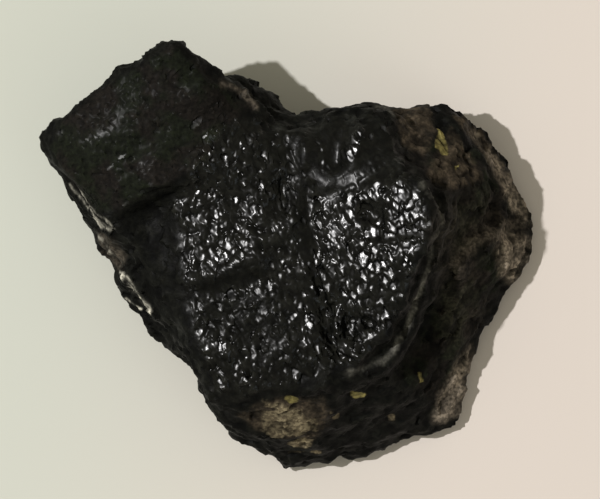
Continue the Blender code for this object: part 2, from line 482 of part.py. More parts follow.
def worked_mesh(survey):
    """The survey remeshed and worked to the broken, weathered shape."""
    clay = with_modifier(survey, "REMESH", mode="VOXEL", voxel_size=VOXEL * MM)
    bm = bmesh.new()
    bm.from_mesh(clay)
    axes = {"use_axis_x": True, "use_axis_y": True, "use_axis_z": True}
    bmesh.ops.smooth_vert(bm, verts=bm.verts, factor=0.5, **axes)
    bm.normal_update()
    weather(bm)
    split_beds(bm)
    chisel(bm)
    bmesh.ops.triangulate(bm, faces=bm.faces)
    count = len(bm.faces)
    worked = finished_mesh(bm, "worked")
    share = MOST_TRIANGLES / count
    return with_modifier(worked, "DECIMATE", ratio=share, use_collapse_triangulate=True)


def cut_parting(mesh):
    """Cut the lump flat where it lies on the table, and set the origin under the middle of its box."""
    bm = bmesh.new()
    bm.from_mesh(mesh)
    everything = [*bm.verts, *bm.edges, *bm.faces]
    cut = bmesh.ops.bisect_plane(
        bm, geom=everything, plane_co=(0.0, 0.0, 0.0), plane_no=(0.0, 0.0, 1.0), clear_inner=True
    )
    rim = [item for item in cut["geom_cut"] if isinstance(item, bmesh.types.BMEdge)]
    bmesh.ops.edgeloop_fill(bm, edges=rim)
    bmesh.ops.recalc_face_normals(bm, faces=bm.faces)
    lows = [min(vert.co[axis] for vert in bm.verts) for axis in range(2)]
    highs = [max(vert.co[axis] for vert in bm.verts) for axis in range(2)]
    middle = Vector(((lows[0] + highs[0]) / 2, (lows[1] + highs[1]) / 2, 0.0))
    bmesh.ops.translate(bm, verts=bm.verts, vec=-middle)
    bmesh.ops.triangulate(bm, faces=[face for face in bm.faces if len(face.verts) > 3])
    return finished_mesh(bm, "coal_lump")


def coal_material():
    """Black coal with the gloss of a fresh break."""
    material = bpy.data.materials.new("coal")
    material.use_nodes = True
    shader = material.node_tree.nodes["Principled BSDF"]
    shader.inputs["Base Color"].default_value = COAL_BLACK
    shader.inputs["Roughness"].default_value = FRESH_GLOSS
    shader.inputs["Metallic"].default_value = 0.0
    return material


def main():
    """Model the lump."""
    clear_scene()
    mesh = cut_parting(worked_mesh(survey_mesh()))
    mesh.shade_smooth()
    mesh.set_sharp_from_angle(angle=math.radians(SHARP_ANGLE))
    mesh.materials.append(coal_material())
    lump = bpy.data.objects.new("coal_lump", mesh)
    bpy.context.scene.collection.objects.link(lump)


main()
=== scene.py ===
"""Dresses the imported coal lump: glossy, shattered bright coal on top, and duller, bedded flanks.

The lump is one piece. A fine copy of the CAD solid is carved further with what is too small for it: the
breaks and shrinkage ribs of the bright coal, the small mirror-like breaks along its cleat, its pits, and
the thin laminae of the flanks. Plan coordinates are those of the survey that the solid was made from, in
millimetres, with +X to the right and +Y away. Some places were read off a grid laid over the lump instead.
"""

import logging
import math
from collections.abc import Callable
from dataclasses import dataclass, field
from enum import Enum

import bmesh
import bpy
import numpy as np
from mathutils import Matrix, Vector, noise


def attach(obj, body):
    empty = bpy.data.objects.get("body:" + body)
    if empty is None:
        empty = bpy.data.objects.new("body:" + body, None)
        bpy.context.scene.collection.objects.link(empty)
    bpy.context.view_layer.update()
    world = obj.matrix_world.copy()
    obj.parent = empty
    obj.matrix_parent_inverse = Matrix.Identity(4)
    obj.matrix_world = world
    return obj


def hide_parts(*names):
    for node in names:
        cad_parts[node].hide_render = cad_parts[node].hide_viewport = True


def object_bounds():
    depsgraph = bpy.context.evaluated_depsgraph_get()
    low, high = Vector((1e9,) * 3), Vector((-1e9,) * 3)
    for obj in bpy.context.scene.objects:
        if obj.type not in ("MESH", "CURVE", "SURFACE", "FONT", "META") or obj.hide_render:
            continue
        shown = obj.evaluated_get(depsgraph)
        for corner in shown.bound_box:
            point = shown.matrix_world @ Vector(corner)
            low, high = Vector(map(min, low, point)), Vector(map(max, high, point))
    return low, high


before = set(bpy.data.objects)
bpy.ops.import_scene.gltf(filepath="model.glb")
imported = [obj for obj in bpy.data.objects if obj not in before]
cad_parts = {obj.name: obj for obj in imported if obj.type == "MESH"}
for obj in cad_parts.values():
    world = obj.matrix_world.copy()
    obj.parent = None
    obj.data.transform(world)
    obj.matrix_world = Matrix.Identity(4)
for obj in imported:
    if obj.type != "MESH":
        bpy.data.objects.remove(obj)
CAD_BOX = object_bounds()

LOG = logging.getLogger("coal_lump")
MM = 0.001
SURVEY_ZERO = (-0.20, -0.42)  # where the survey's zero lies in the frame, in millimetres

GRID_STEP = 0.2  # millimetres to a step of the grid
GRID_ZERO = (287, 256)  # the grid's line across and line down that meet at the survey's zero
CLEAT_LEAN = 20.0  # how far most breaks of the bright coal lean from +Y towards -X, in degrees

Path = tuple[tuple[float, float], ...]
Range = tuple[float, float]
Colour = tuple[float, float, float, float]
Mesh = bmesh.types.BMesh
Socket = bpy.types.NodeSocket


# ---- The plan ----


def distance_to_path(plan: np.ndarray, path: Path) -> np.ndarray:
    """Measure how far points of the plan lie from an open path.

    Args:
        plan: The points, one row each, in millimetres.
        path: The path's corners.

    Returns:
        One distance a point, in millimetres.
    """
    nearest = np.full(len(plan), np.inf)
    for start, end in zip(path, path[1:]):
        a, b = np.array(start), np.array(end)
        along = np.clip(((plan - a) @ (b - a)) / max((b - a) @ (b - a), 1e-9), 0.0, 1.0)
        nearest = np.minimum(nearest, np.linalg.norm(plan - a - along[:, None] * (b - a), axis=1))
    return nearest


def smooth_step(value: np.ndarray, low: float, high: float) -> np.ndarray:
    """Rise smoothly from 0 at one value to 1 at another.

    Args:
        value: The values.
        low: Where the rise starts.
        high: Where it ends.

    Returns:
        One share a value, from 0 to 1.
    """
    share = np.clip((value - low) / (high - low), 0.0, 1.0)
    return share * share * (3.0 - 2.0 * share)


def turned(plan: np.ndarray, lean: float) -> tuple[np.ndarray, np.ndarray]:
    """Read points of the plan along and across a direction.

    Args:
        plan: The points, one row each.
        lean: How far the direction leans from +Y towards -X, in degrees.

    Returns:
        How far each point lies along the direction, and how far to its right.
    """
    c, s = math.cos(math.radians(lean)), math.sin(math.radians(lean))
    return plan[:, 1] * c - plan[:, 0] * s, plan[:, 0] * c + plan[:, 1] * s


def on_grid(readings: Path) -> Path:
    """Turn points read off the grid into the survey's millimetres.

    Args:
        readings: The grid lines that each point lies on, counted to the right and towards the foot.

    Returns:
        The points of the plan.
    """
    return tuple(((x - GRID_ZERO[0]) * GRID_STEP, (GRID_ZERO[1] - y) * GRID_STEP) for x, y in readings)


@dataclass(frozen=True)
class Patch:
    """An area of the plan with a soft edge."""

    outline: Path
    feather: float

    @classmethod
    def drawn(cls, feather: float, *corners: tuple[float, float]) -> "Patch":
        """Place a patch in the survey's millimetres."""
        return cls(corners, feather)

    @classmethod
    def read(cls, feather: float, *readings: tuple[float, float]) -> "Patch":
        """Place a patch that was read off the grid."""
        return cls(on_grid(readings), feather)

    def cover(self, plan: np.ndarray) -> np.ndarray:
        """Say how much of each point the patch covers.

        Args:
            plan: The points, one row each, in millimetres.

        Returns:
            One share a point: 1 well inside the outline and 0 well outside.
        """
        ring = self.outline + self.outline[:1]
        inside = np.zeros(len(plan), dtype=bool)
        for (x1, y1), (x2, y2) in zip(ring, ring[1:]):
            spans = (y1 > plan[:, 1]) != (y2 > plan[:, 1])
            if y1 != y2:
                crossing = x1 + (plan[:, 1] - y1) * (x2 - x1) / (y2 - y1)
                inside ^= spans & (plan[:, 0] < crossing)
        depth = distance_to_path(plan, ring) * np.where(inside, 1.0, -1.0)
        return smooth_step(depth, -self.feather, self.feather)


@dataclass(frozen=True)
class Stroke:
    """A line drawn along a path, which fades out to both sides."""

    path: Path
    width: float
    depth: float

    @classmethod
    def drawn(cls, width: float, depth: float, *path: tuple[float, float]) -> "Stroke":
        """Place a stroke in the survey's millimetres."""
        return cls(path, width, depth)

    @classmethod
    def read(cls, width: float, depth: float, *readings: tuple[float, float]) -> "Stroke":
        """Place a stroke that was read off the grid, its width in steps of the grid."""
        return cls(on_grid(readings), width * GRID_STEP, depth)

    def cover(self, plan: np.ndarray) -> np.ndarray:
        """Say how much of the stroke's depth each point takes.

        Args:
            plan: The points, one row each, in millimetres.

        Returns:
            One depth a point: the stroke's own on the path, and less away from it.
        """
        away = distance_to_path(plan, self.path) / self.width
        return self.depth * np.exp(-away * away)


@dataclass(frozen=True)
class Facet:
    """A small, flat, mirror-like break along the cleat of the bright coal."""

    middle: tuple[float, float]
    length: float
    width: float
    lean: float
    edge: Range = (0.7, 1.4)  # where it starts and ends fading out, in half sizes from its middle

    @classmethod
    def read(
        cls, across: float, down: float, length: float, width: float, lean: float = CLEAT_LEAN
    ) -> "Facet":
        """Place a facet that was read off the grid.

        Args:
            across: The grid line it lies on, counted to the right.
            down: The grid line it lies on, counted towards the foot.
            length: How long it is, in grid steps.
            width: How wide it is, in grid steps.
            lean: How far it leans from +Y towards -X, in degrees.

        Returns:
            The facet, in millimetres.
        """
        return cls(on_grid(((across, down),))[0], length * GRID_STEP, width * GRID_STEP, lean)

    def cover(self, plan: np.ndarray) -> np.ndarray:
        """Say how much of each point the facet covers.

        Args:
            plan: The points, one row each, in millimetres.

        Returns:
            One share a point: 1 on the facet and 0 well outside it.
        """
        along, across = turned(plan - np.array(self.middle), self.lean)
        reach = np.hypot(along / (self.length / 2), across / (self.width / 2))
        return 1.0 - smooth_step(reach, *self.edge)


Area = Patch | Stroke | Facet


def each(make: Callable[..., Area], *rows: tuple) -> tuple[Area, ...]:
    """Make one area of each row of values."""
    return tuple(make(*row) for row in rows)


def most(areas: tuple[Area, ...], plan: np.ndarray) -> np.ndarray:
    """Return the largest cover of several areas at each point of the plan."""
    return np.max([area.cover(plan) for area in areas], axis=0)


@dataclass(frozen=True)
class Shatter:
    """Small flat breaks that cover a surface like cells, each tilted its own way."""

    size: tuple[float, float, float]
    tilt: float
    lean: float = 0.0
    stray: float = 0.0
    draw: float = 3.7  # how far apart in the noise two cells draw their own numbers

    def cells(self, places: np.ndarray) -> tuple[np.ndarray, np.ndarray]:
        """Find the cell that each point lies in.

        Args:
            places: The points, one row each, in millimetres.

        Returns:
            How far each point lies from its cell's middle, and three numbers that are the cell's own.
        """
        along, across = turned(places[:, :2], self.lean)
        size = np.array(self.size)
        scaled = np.column_stack((across, along, places[:, 2])) / size
        away, own = np.empty_like(scaled), np.empty_like(scaled)
        for i, point in enumerate(scaled):
            middle = noise.voronoi(Vector(point))[1][0]
            away[i] = point - np.array(middle)
            own[i] = noise.noise_vector(middle * self.draw)
        away *= size
        along, across = turned(away[:, :2], -self.lean)
        return np.column_stack((across, along, away[:, 2])), own


@dataclass(frozen=True)
class Bedding:
    """Thin laminae that stand out of the flanks, each by its own amount, which changes along it."""

    lamina: float = 0.9
    dip: float = 0.05
    sway: float = 1.3
    sway_length: float = 25.0
    patch_length: float = 12.0
    draw: float = 5.7
    contrast: float = 2.0

    def offsets(self, plan: np.ndarray, height: np.ndarray) -> np.ndarray:
        """Say how far each vertex's lamina stands out.

        Args:
            plan: The vertices in plan.
            height: Their heights.

        Returns:
            One offset a vertex, from about -1 to 1.
        """
        steps = np.empty(len(plan))
        for i, ((x, y), z) in enumerate(zip(plan, height)):
            sway = self.sway * noise.noise(Vector((x, y, 0.0)) / self.sway_length)
            bed = math.floor((z + self.dip * x + sway) / self.lamina)
            place = Vector((x / self.patch_length, y / self.patch_length, self.draw * bed))
            steps[i] = self.contrast * noise.noise(place)
        return steps


class Zone(Enum):
    """The attributes that tell the finish which kind of coal it lies on, and where it paints highlights,
    sheen and shade.
    """

    GLOSS = "gloss"
    FILM = "film"
    UMBER = "umber"
    SAGE = "sage"
    # Dust, and painted sheen on facets that face right.
    DUST_AND_SHEEN = "dust_and_sheen"
    # Painted highlights on the laminae of the left flank and along the ledge crest.
    PAINTED_HIGHLIGHT = "painted_highlight"
    OCHRE = "ochre"
    RELIEF = "relief"


# ---- The areas ----

BRIGHT_COAL = Patch.drawn(
    1.2, (-22.8, 9.0), (-21.2, 12.6), (-19.0, 17.0), (-17.0, 24.0), (-12.0, 27.4), (-7.0, 26.6),
    (-2.0, 25.6), (2.0, 26.0), (9.0, 28.0), (17.0, 27.6), (20.6, 24.0), (22.6, 17.4), (27.0, 13.0),
    (28.0, 5.0), (25.4, -2.0), (22.4, -11.0), (18.4, -17.0), (14.6, -21.0), (9.0, -22.6), (4.0, -24.4),
    (0.0, -26.6), (-5.0, -27.2), (-9.4, -28.6), (-14.2, -27.4), (-17.4, -17.0), (-19.6, -9.0),
    (-20.6, -3.0), (-21.2, 4.0),
)
HEAD = Patch.drawn(
    1.6, (-47.0, 22.0), (-45.0, 27.0), (-33.0, 36.0), (-22.6, 41.5), (-12.0, 33.0), (-7.0, 30.0),
    (-13.0, 25.0), (-17.0, 18.0), (-26.0, 13.5), (-33.0, 9.0), (-38.0, 9.0), (-44.0, 16.0),
)

# The breaks that mirror the light, by where they lie: line across and line down of the grid, length and
# width in its steps, and lean in degrees where it is not the usual one.
CLEAT_BREAKS = (
    # lens
    (358.3, 136.5, 7, 4.5, 10), (357.5, 143, 6, 6), (355.5, 150, 7, 7),
    (349.5, 155, 10, 7, 25), (370.4, 137.5, 5, 3), (372.5, 144.6, 4, 3),
    (345.8, 118, 3, 6, 90), (353, 124.5, 3, 4, 60),
    # arc
    (352.3, 210, 10, 4.5), (355, 203, 8, 4), (359.2, 200, 9, 4),
    (363.5, 196.5, 9, 4), (367.2, 196, 9, 3.5), (370.8, 196, 9, 4),
    (374.5, 199.5, 8, 3, 30), (341.7, 216.7, 9, 6, 15), (355, 220, 6, 3, 25),
    (376.7, 185, 8, 9, 60), (370.8, 169.6, 7, 4, 25), (363.8, 174, 5, 6, 30),
    (350.4, 183.3, 3, 3, 0),
    # rim
    (388.3, 202.5, 9, 3, 25), (396.7, 198, 11, 4, -20), (399.5, 190, 6, 3, -10),
    (400, 184, 6, 5, 10), (398.3, 177.5, 4, 3, 0), (408, 188, 6, 4), (413, 190, 7, 4),
    (408.5, 196, 6, 4), (405, 209, 6, 3), (410, 206, 8, 3), (416, 205, 8, 3),
    (420, 213, 8, 4), (422, 222, 8, 4, 10), (413, 217, 7, 3), (406, 220, 7, 3),
    (400, 219, 7, 3), (401, 229, 6, 6), (408, 229, 6, 6), (415, 230, 6, 6),
    (419, 226, 5, 5), (381, 209, 3, 7, 80), (389, 218, 7, 3, 25), (393.5, 219, 7, 3, 25),
    (397, 223, 7, 3, 25), (377.5, 224, 6, 6), (371.7, 230, 6, 7), (388, 237, 7, 3, 25),
    (392, 238, 7, 3, 25),
    # slope
    (333, 228, 4, 4, 0), (332.5, 235.8, 4, 4, 0), (330, 243, 6, 4, 30), (335, 247, 5, 4, 30),
    (370, 241.7, 6, 3, 25), (379, 241, 8, 2.5, 30), (347.5, 250, 8, 3, 30), (351, 253, 7, 3, 30),
    (371.5, 255, 6, 4, 15), (376.5, 254, 6, 5, 15), (405, 246, 5, 4), (409, 249, 6, 5),
    (363, 243, 4, 3), (386.7, 273, 7, 7), (384.6, 282.5, 6, 7, 40), (371, 277, 5, 3, 30),
    (376, 279, 5, 3, 30), (363, 261.7, 4, 6, 60), (360.5, 284, 5, 2.5, 0), (350, 264, 5, 4, 30),
    (339, 281.7, 3, 7, 60), (408, 262, 8, 3), (411, 268, 7, 3), (407, 273, 6, 3),
    (411, 277, 5, 3), (394, 299, 6, 3, 25), (385, 291.7, 4, 3, 30), (345, 256, 5, 3, 30),
    (356, 268, 5, 3, 30),
    # shoulder
    (300, 160.8, 7, 4), (301.7, 168, 4, 4), (303, 174, 5, 4), (322.5, 163, 6, 7, 60),
    (322, 170.8, 5, 6, 60), (314.6, 153, 4, 3, 30), (305, 136, 3, 3, 0), (319, 145, 8, 2.5, 40),
    (314.6, 215.4, 3, 3, 0), (326.7, 218, 4, 3, 0),
    # pits
    (337.5, 321.5, 9, 5, 10), (333.5, 328.5, 5, 6, 30), (337, 335, 7, 5),
    (341, 345, 8, 2.5, 40), (349, 350.5, 8, 2.5, 65), (356, 355, 6, 2.5, 50), (340, 308, 4, 5, 30),
    (347.5, 312.5, 10, 2.5, 55), (355, 318, 6, 5, 30), (359, 326, 9, 2.5, 25),
    (366.5, 333, 5, 8, 80), (368, 312, 5, 5, 30), (376, 314.5, 7, 2.5, 70), (382, 321, 8, 2.5, 25),
    (376.7, 326.7, 6, 5, 30), (385, 309, 5, 6, 30), (392, 312, 5, 4), (375.8, 300, 4, 4),
    # grooves
    (291.7, 217.5, 4, 4, 30), (301, 218, 6, 4, 30), (292.5, 243, 6, 4, 30), (300, 240, 6, 4),
    (304, 238, 5, 3), (287.5, 233, 8, 4, 25), (307.5, 277, 7, 4, 10), (312, 287, 9, 5),
    (325, 278, 9, 5, 15), (328, 287, 10, 6, 15), (331, 296, 7, 4, 10), (318, 259, 12, 4, 15),
    (312.5, 319, 5, 4, 0), (309.5, 325, 6, 4, 10), (311, 333, 7, 4, 10), (317.5, 349, 13, 6, 30),
    (325, 359, 6, 3, 50), (331, 364, 6, 2.5, 60), (308, 340, 8, 4, 15), (302.5, 356.7, 6, 6, 40),
    (310, 356.7, 8, 3), (306.5, 365, 4, 4, 30),
    # hollow
    (211, 155, 5, 4, 10), (213.3, 160, 5, 3, 25), (214, 169, 4, 3, 30), (224, 153, 4, 4),
    (224.6, 158, 4, 3), (236.7, 150.8, 7, 3, 10), (235, 156.7, 5, 2.5, -10),
    (250.4, 139.6, 4, 4), (253, 143.8, 4, 5, 60), (259, 143, 3, 6, 80), (249, 132, 3, 4),
    (253.8, 156, 5, 3, 30), (250.4, 162.5, 9, 3, 5), (268, 161, 7, 6, 60), (273, 164, 5, 4),
    (230, 178, 13, 3, 5), (238, 172.5, 5, 4), (240.5, 179, 8, 2.5),
    (258.3, 173.3, 4, 4), (257, 180, 7, 4), (261, 181, 7, 4), (250, 186.7, 4, 5),
    (281.7, 174, 4, 4, 30), (284, 184, 4, 5), (172.5, 177.5, 4, 3),
    (191.7, 173.8, 3, 4), (183, 166, 9, 2.5, -50), (201.7, 155, 7, 3, 0), (206, 136, 4, 3, 30),
    (214, 126, 5, 2.5, 40), (218, 131, 4, 2.5, 40),
    # middle
    (198, 192.5, 6, 7, 60), (206.7, 188, 4, 5), (212.5, 193, 5, 5, 40), (214, 199, 6, 6),
    (230.5, 200.5, 4, 5), (236, 202, 6, 3, 30), (232.5, 208, 8, 3, 15), (235, 213, 4, 3, 35),
    (257.5, 209, 5, 5), (261, 217.5, 8, 5, 15), (253, 196, 4, 4), (270, 196, 3, 5, -60),
    (194, 218, 6, 5), (199, 215, 6, 5), (219, 216, 4, 6, 70), (222.5, 223, 3, 6, 70),
    (232.5, 227.5, 3, 4), (281, 220, 5, 4, 30), (191, 230, 3, 10, 80), (213, 233, 6, 5, 30),
    (212, 238, 5, 6), (218, 233, 4, 5), (180, 245, 4, 6), (192.5, 246, 5, 4),
    (211, 246, 5, 4), (211, 251, 4, 4), (187, 255, 4, 4), (231, 247, 8, 7),
    (235, 254, 7, 3), (242.5, 242.5, 7, 5, 30), (223, 256, 5, 5), (255, 252, 8, 3, 25),
    (281.7, 251, 5, 4),
    # foot
    (273.5, 267, 7, 3.5, 15), (276, 273, 5, 5), (279.6, 274.6, 4, 3),
    (284.5, 263.5, 6, 3.5, 30), (288, 269.6, 5, 4), (216.7, 299, 5, 3, 25),
    (220.4, 306.7, 6, 3, 25), (225, 311.7, 5, 3, 55), (258.8, 319.6, 6, 5, 30),
    (265.4, 325, 4, 3, 30), (248.8, 324.6, 3, 3), (270.8, 303.3, 7, 4, 45),
    (273.8, 293.3, 5, 4), (280.4, 297.5, 4, 3, 30), (279, 305.8, 4, 5),
    (281, 311.7, 5, 3), (262.5, 299, 5, 3, 50), (300, 304, 8, 5, -10), (290, 319, 6, 3, 30),
    (277, 331, 5, 2, 30), (281, 333, 5, 2, 30), (284, 340, 7, 2), (279, 343, 5, 2, 30),
    (288, 346, 6, 2, 10), (281, 352.5, 4, 5), (284, 370.8, 5, 4, 40), (294.5, 366, 5, 2.5, 30),
    (297, 371, 5, 2.5, 30), (299, 378, 6, 5),
    # lower left
    (235, 366, 4, 5), (235.4, 371.7, 3.5, 5), (236.5, 376, 5, 4), (253, 355, 8, 3, -5),
    (251, 366, 5, 3, -20), (243.8, 376.7, 5, 4), (220, 380, 7, 6), (220, 373, 3, 3),
    (227.5, 347.5, 5, 5), (216.7, 342.5, 3, 3), (220.8, 348, 4, 3, 40),
    (234.6, 341, 3, 3), (213, 352.5, 5, 3, 25), (216, 260, 7, 3), (200, 330, 4, 3),
    (200, 347.5, 4, 3),
)
# Where whole runs of breaks lie along the cleat: width, share of them, and the run.
CLEAT_RUNS = each(
    Stroke.read,
    (5.5, 1.0, (358, 135), (355, 147), (349, 157)),
    (2.8, 0.9, (322, 162), (321, 169)),
    (6.0, 1.0, (350, 213), (352, 204), (359, 197), (371, 195)),
    (3.2, 0.9, (341, 215), (342, 218)),
    (1.2, 0.5, (343, 190), (353, 183), (362, 176)),
    (4.0, 1.0, (376, 183), (376, 187)),
    (2.0, 0.9, (388, 201), (390, 206)),
    (2.4, 0.8, (396, 196), (398, 205)),
    (3.2, 0.8, (400, 182), (404, 186), (411, 192)),
    (8.5, 1.0, (397, 213), (408, 207), (416, 208), (420, 216), (418, 224), (411, 230)),
    (3.6, 0.9, (411, 231), (397, 234), (388, 237)),
    (6.0, 0.9, (400, 190), (412, 198), (418, 206)),
    (6.0, 0.9, (396, 224), (412, 226)),
    (5.0, 0.6, (338, 264), (350, 280), (345, 296)),
    (4.4, 0.6, (376, 262), (392, 272)),
    (5.0, 0.7, (404, 214), (411, 219)),
    (4.0, 0.7, (369, 233), (372, 226), (378, 222)),
    (7.0, 0.5, (331, 232), (335, 243), (344, 254), (350, 264)),
    (2.2, 0.7, (317, 254), (317, 263)),
    (3.4, 1.0, (372, 254), (377, 255)),
    (3.2, 0.7, (363, 259), (366, 262)),
    (1.6, 0.8, (386, 249), (395, 247)),
    (3.6, 0.9, (407, 247), (411, 251)),
    (3.8, 0.8, (408, 262), (407, 272)),
    (3.6, 1.0, (384, 271), (386, 276), (384, 283)),
    (3.4, 1.0, (283, 259), (287, 269)),
    (4.2, 1.0, (337, 321), (337, 331)),
    (3.4, 0.9, (362, 330), (372, 332), (376, 326)),
    (3.4, 0.8, (385, 308), (389, 319)),
    (4.0, 0.8, (307, 337), (311, 344)),
    (4.0, 0.8, (295, 376), (298, 380)),
    (3.0, 0.5, (313, 313), (307, 332)),
    (6.0, 0.6, (372, 268), (362, 284), (352, 292)),
    (6.0, 0.6, (394, 288), (380, 300)),
    (5.0, 0.6, (388, 254), (398, 262)),
    (3.0, 1.0, (192, 218), (200, 215)),
    (2.4, 0.6, (181, 232), (194, 229)),
    (4.0, 0.8, (210, 240), (214, 233)),
    (2.6, 0.6, (211, 244), (214, 259)),
    (4.0, 1.0, (229, 246), (233, 254)),
    (2.6, 0.9, (286, 231), (293, 245)),
    (3.4, 1.0, (272, 266), (277, 274)),
    (3.4, 1.0, (268, 160), (270, 163)),
    (2.8, 0.9, (211, 154), (214, 168)),
    (2.8, 0.9, (223, 151), (225, 160)),
    (2.6, 0.9, (237, 147), (237, 156)),
    (3.2, 1.0, (250, 138), (254, 146)),
    (2.8, 0.9, (273, 161), (274, 168)),
    (2.4, 0.8, (228, 171), (232, 184)),
    (2.4, 0.8, (238, 170), (243, 184)),
    (2.8, 0.9, (249, 184), (251, 190)),
    (3.2, 0.9, (259, 178), (259, 182)),
    (2.6, 0.9, (205, 188), (214, 200)),
    (2.2, 0.8, (230, 203), (237, 201), (234, 211)),
    (3.4, 0.9, (256, 208), (262, 219)),
    (2.2, 0.8, (216, 300), (223, 311)),
    (3.2, 0.9, (258, 319), (261, 322)),
    (2.6, 0.8, (269, 302), (280, 309)),
    (3.0, 0.5, (254, 352), (252, 366)),
    (2.8, 0.9, (235, 366), (236, 375)),
    (4.0, 0.7, (219, 378), (221, 382)),
)
# Where smooth ridges catch the light, in the same way.
RIDGES = each(
    Stroke.read,
    (3.0, 1.0, (341, 308), (338, 318), (336, 334), (341, 346), (349, 354), (358, 357)),
    (2.6, 1.0, (342, 308), (355, 317), (359, 326), (363, 333)),
    (2.6, 0.9, (363, 313), (372, 313), (379, 322), (377, 329)),
    (3.0, 1.0, (307, 330), (309, 340), (314, 350), (324, 361), (333, 367)),
    (3.6, 1.3, (323, 272), (326, 280), (329, 290), (332, 300)),
    (3.2, 1.0, (306, 273), (310, 282), (315, 293)),
    (2.8, 0.9, (314, 250), (318, 264)),
)
# Where a thin gleam runs over the duller coal of the head.
HEAD_RUNS = each(
    Stroke.read,
    (3.0, 0.8, (57, 138), (62, 133)),
    (4.0, 0.5, (85, 143), (100, 136), (112, 130), (125, 110)),
    (2.4, 0.9, (95, 137), (103, 134)),
    (1.8, 0.6, (186, 126), (196, 121), (207, 121)),
    (1.8, 0.6, (199, 122), (207, 137)),
    (2.0, 0.7, (112, 163), (128, 154)),
    (2.0, 0.8, (110, 166), (113, 168)),
    (2.2, 0.5, (138, 160), (150, 170)),
    (2.0, 0.6, (181, 171), (188, 162)),
    (2.0, 0.7, (166, 178), (168, 183)),
    (2.2, 0.6, (125, 204), (140, 195)),
)
# Where the bright coal is smooth and dark, and how smooth.
CALM_AREAS = (
    Patch.read(
        1.2, (296, 112), (330, 108), (385, 112), (394, 150), (388, 180), (366, 190), (348, 190),
        (330, 202), (314, 192), (302, 140),
    ),
    Stroke.read(9.0, 0.75, (192, 295), (225, 280), (268, 267)),
    Patch.read(
        0.8, (424, 196), (434, 215), (438, 240), (424, 275), (410, 310), (398, 345), (372, 364),
        (356, 362), (384, 345), (398, 310), (408, 285), (422, 245), (428, 222),
    ),
    Patch.read(1.2, (138, 212), (176, 220), (180, 250), (166, 264), (144, 246)),
    Patch.read(0.8, (292, 130), (302, 130), (310, 200), (318, 330), (312, 334), (300, 240)),
)
# Where the bright coal is duller than elsewhere.
HUSHED_AREAS = each(
    Patch.read,
    (
        1.5, (196, 296), (236, 290), (282, 292), (286, 330), (280, 374), (262, 372), (240, 340),
        (206, 332),
    ),
    (1.0, (190, 286), (222, 270), (262, 258), (276, 262), (262, 278), (225, 290)),
    (1.0, (312, 158), (342, 166), (350, 178), (344, 196), (322, 192), (310, 176)),
    (0.8, (285, 132), (303, 126), (309, 206), (300, 240), (288, 238), (284, 190)),
)
# Ribs, grooves and pits that the solid is too coarse for: width, depth, and where they run.
STROKES = each(
    Stroke.drawn,
    (1.8, 0.3, (10.4, 25.0), (9.8, 19.0)),
    (1.7, 0.7, (15.4, 9.4), (17.6, 7.6)),
    (0.8, 0.45, (16.6, 2.2), (21.0, 2.4), (25.6, 3.4)),
    (0.8, -0.15, (6.2, -3.6), (7.2, -8.0), (8.2, -12.4), (9.6, -17.0), (12.6, -20.4)),
    (1.3, 0.9, (12.2, -13.0), (12.2, -16.0)),
    (1.1, 0.8, (15.6, -13.0), (16.2, -13.4)),
    (0.9, 0.5, (-0.8, 14.4), (-1.0, 10.0)),
    (1.2, 0.4, (2.0, 23.0), (1.6, 17.0), (2.0, 10.0)),
    (0.5, -0.15, (11.2, 13.6), (14.2, 15.4), (17.4, 17.6)),
    (0.6, 0.15, (10.4, 15.0), (13.0, 16.6), (16.0, 18.4)),
)

FILM_PATCHES = each(
    Patch.drawn,
    (
        1.6, (-4.6, -28.6), (-2.4, -29.4), (0.6, -30.2), (3.0, -31.4), (5.6, -33.0), (6.0, -35.6),
        (4.4, -37.8), (2.6, -39.4), (-0.4, -38.8), (-2.4, -36.8), (-4.4, -35.2), (-5.0, -31.8),
    ),
    (0.5, (8.6, -31.0), (10.4, -31.0), (10.2, -32.6), (8.8, -32.6)),
    (0.4, (5.0, -38.8), (7.2, -38.8), (6.8, -40.0), (5.2, -40.0)),
    (0.5, (20.2, -31.8), (22.0, -32.0), (21.8, -33.0), (20.2, -32.8)),
)
OCHRE_PATCHES = each(
    Patch.drawn,
    (0.45, (-0.4, -27.9), (1.6, -28.0), (2.0, -29.2), (0.2, -29.0)),
    (0.35, (26.2, -23.2), (26.9, -23.2), (27.0, -25.4), (26.3, -25.4)),
    (0.3, (33.4, 18.0), (34.2, 18.2), (34.2, 17.2), (33.6, 17.0)),
    (0.5, (12.6, -26.8), (15.8, -27.6), (15.4, -28.6), (12.8, -27.8)),
) + (
    Patch.read(
        0.3, (437, 126), (441, 132), (446, 143), (449, 155), (443, 156), (438, 149), (433, 151),
        (436, 141),
    ),
)
UMBER_PATCHES = each(
    Patch.drawn,
    (1.5, (21.0, 29.0), (28.0, 30.0), (29.6, 24.0), (27.0, 20.4), (23.0, 22.0)),
    (1.5, (30.0, 20.0), (32.6, 26.0), (36.0, 22.0), (39.0, 15.0), (33.0, 13.0), (28.0, 16.0)),
    (1.0, (36.0, 28.0), (41.0, 22.0), (46.4, 13.6), (45.4, 12.0), (38.0, 22.4), (33.0, 28.0)),
    (
        2.0, (-10.0, -32.0), (-6.0, -29.8), (-2.0, -28.4), (3.0, -29.4), (7.0, -28.8), (9.0, -31.0),
        (8.0, -34.0), (5.0, -37.0), (-6.0, -35.0),
    ),
)
SAGE_PATCHES = (
    HEAD,
    Patch.drawn(
        3.0, (24.0, 20.0), (33.0, 12.0), (34.0, 0.0), (28.0, -14.0), (22.0, -24.0), (30.0, -30.0),
        (38.0, -14.0), (48.0, 2.0), (45.0, 14.0), (34.0, 24.0),
    ),
)
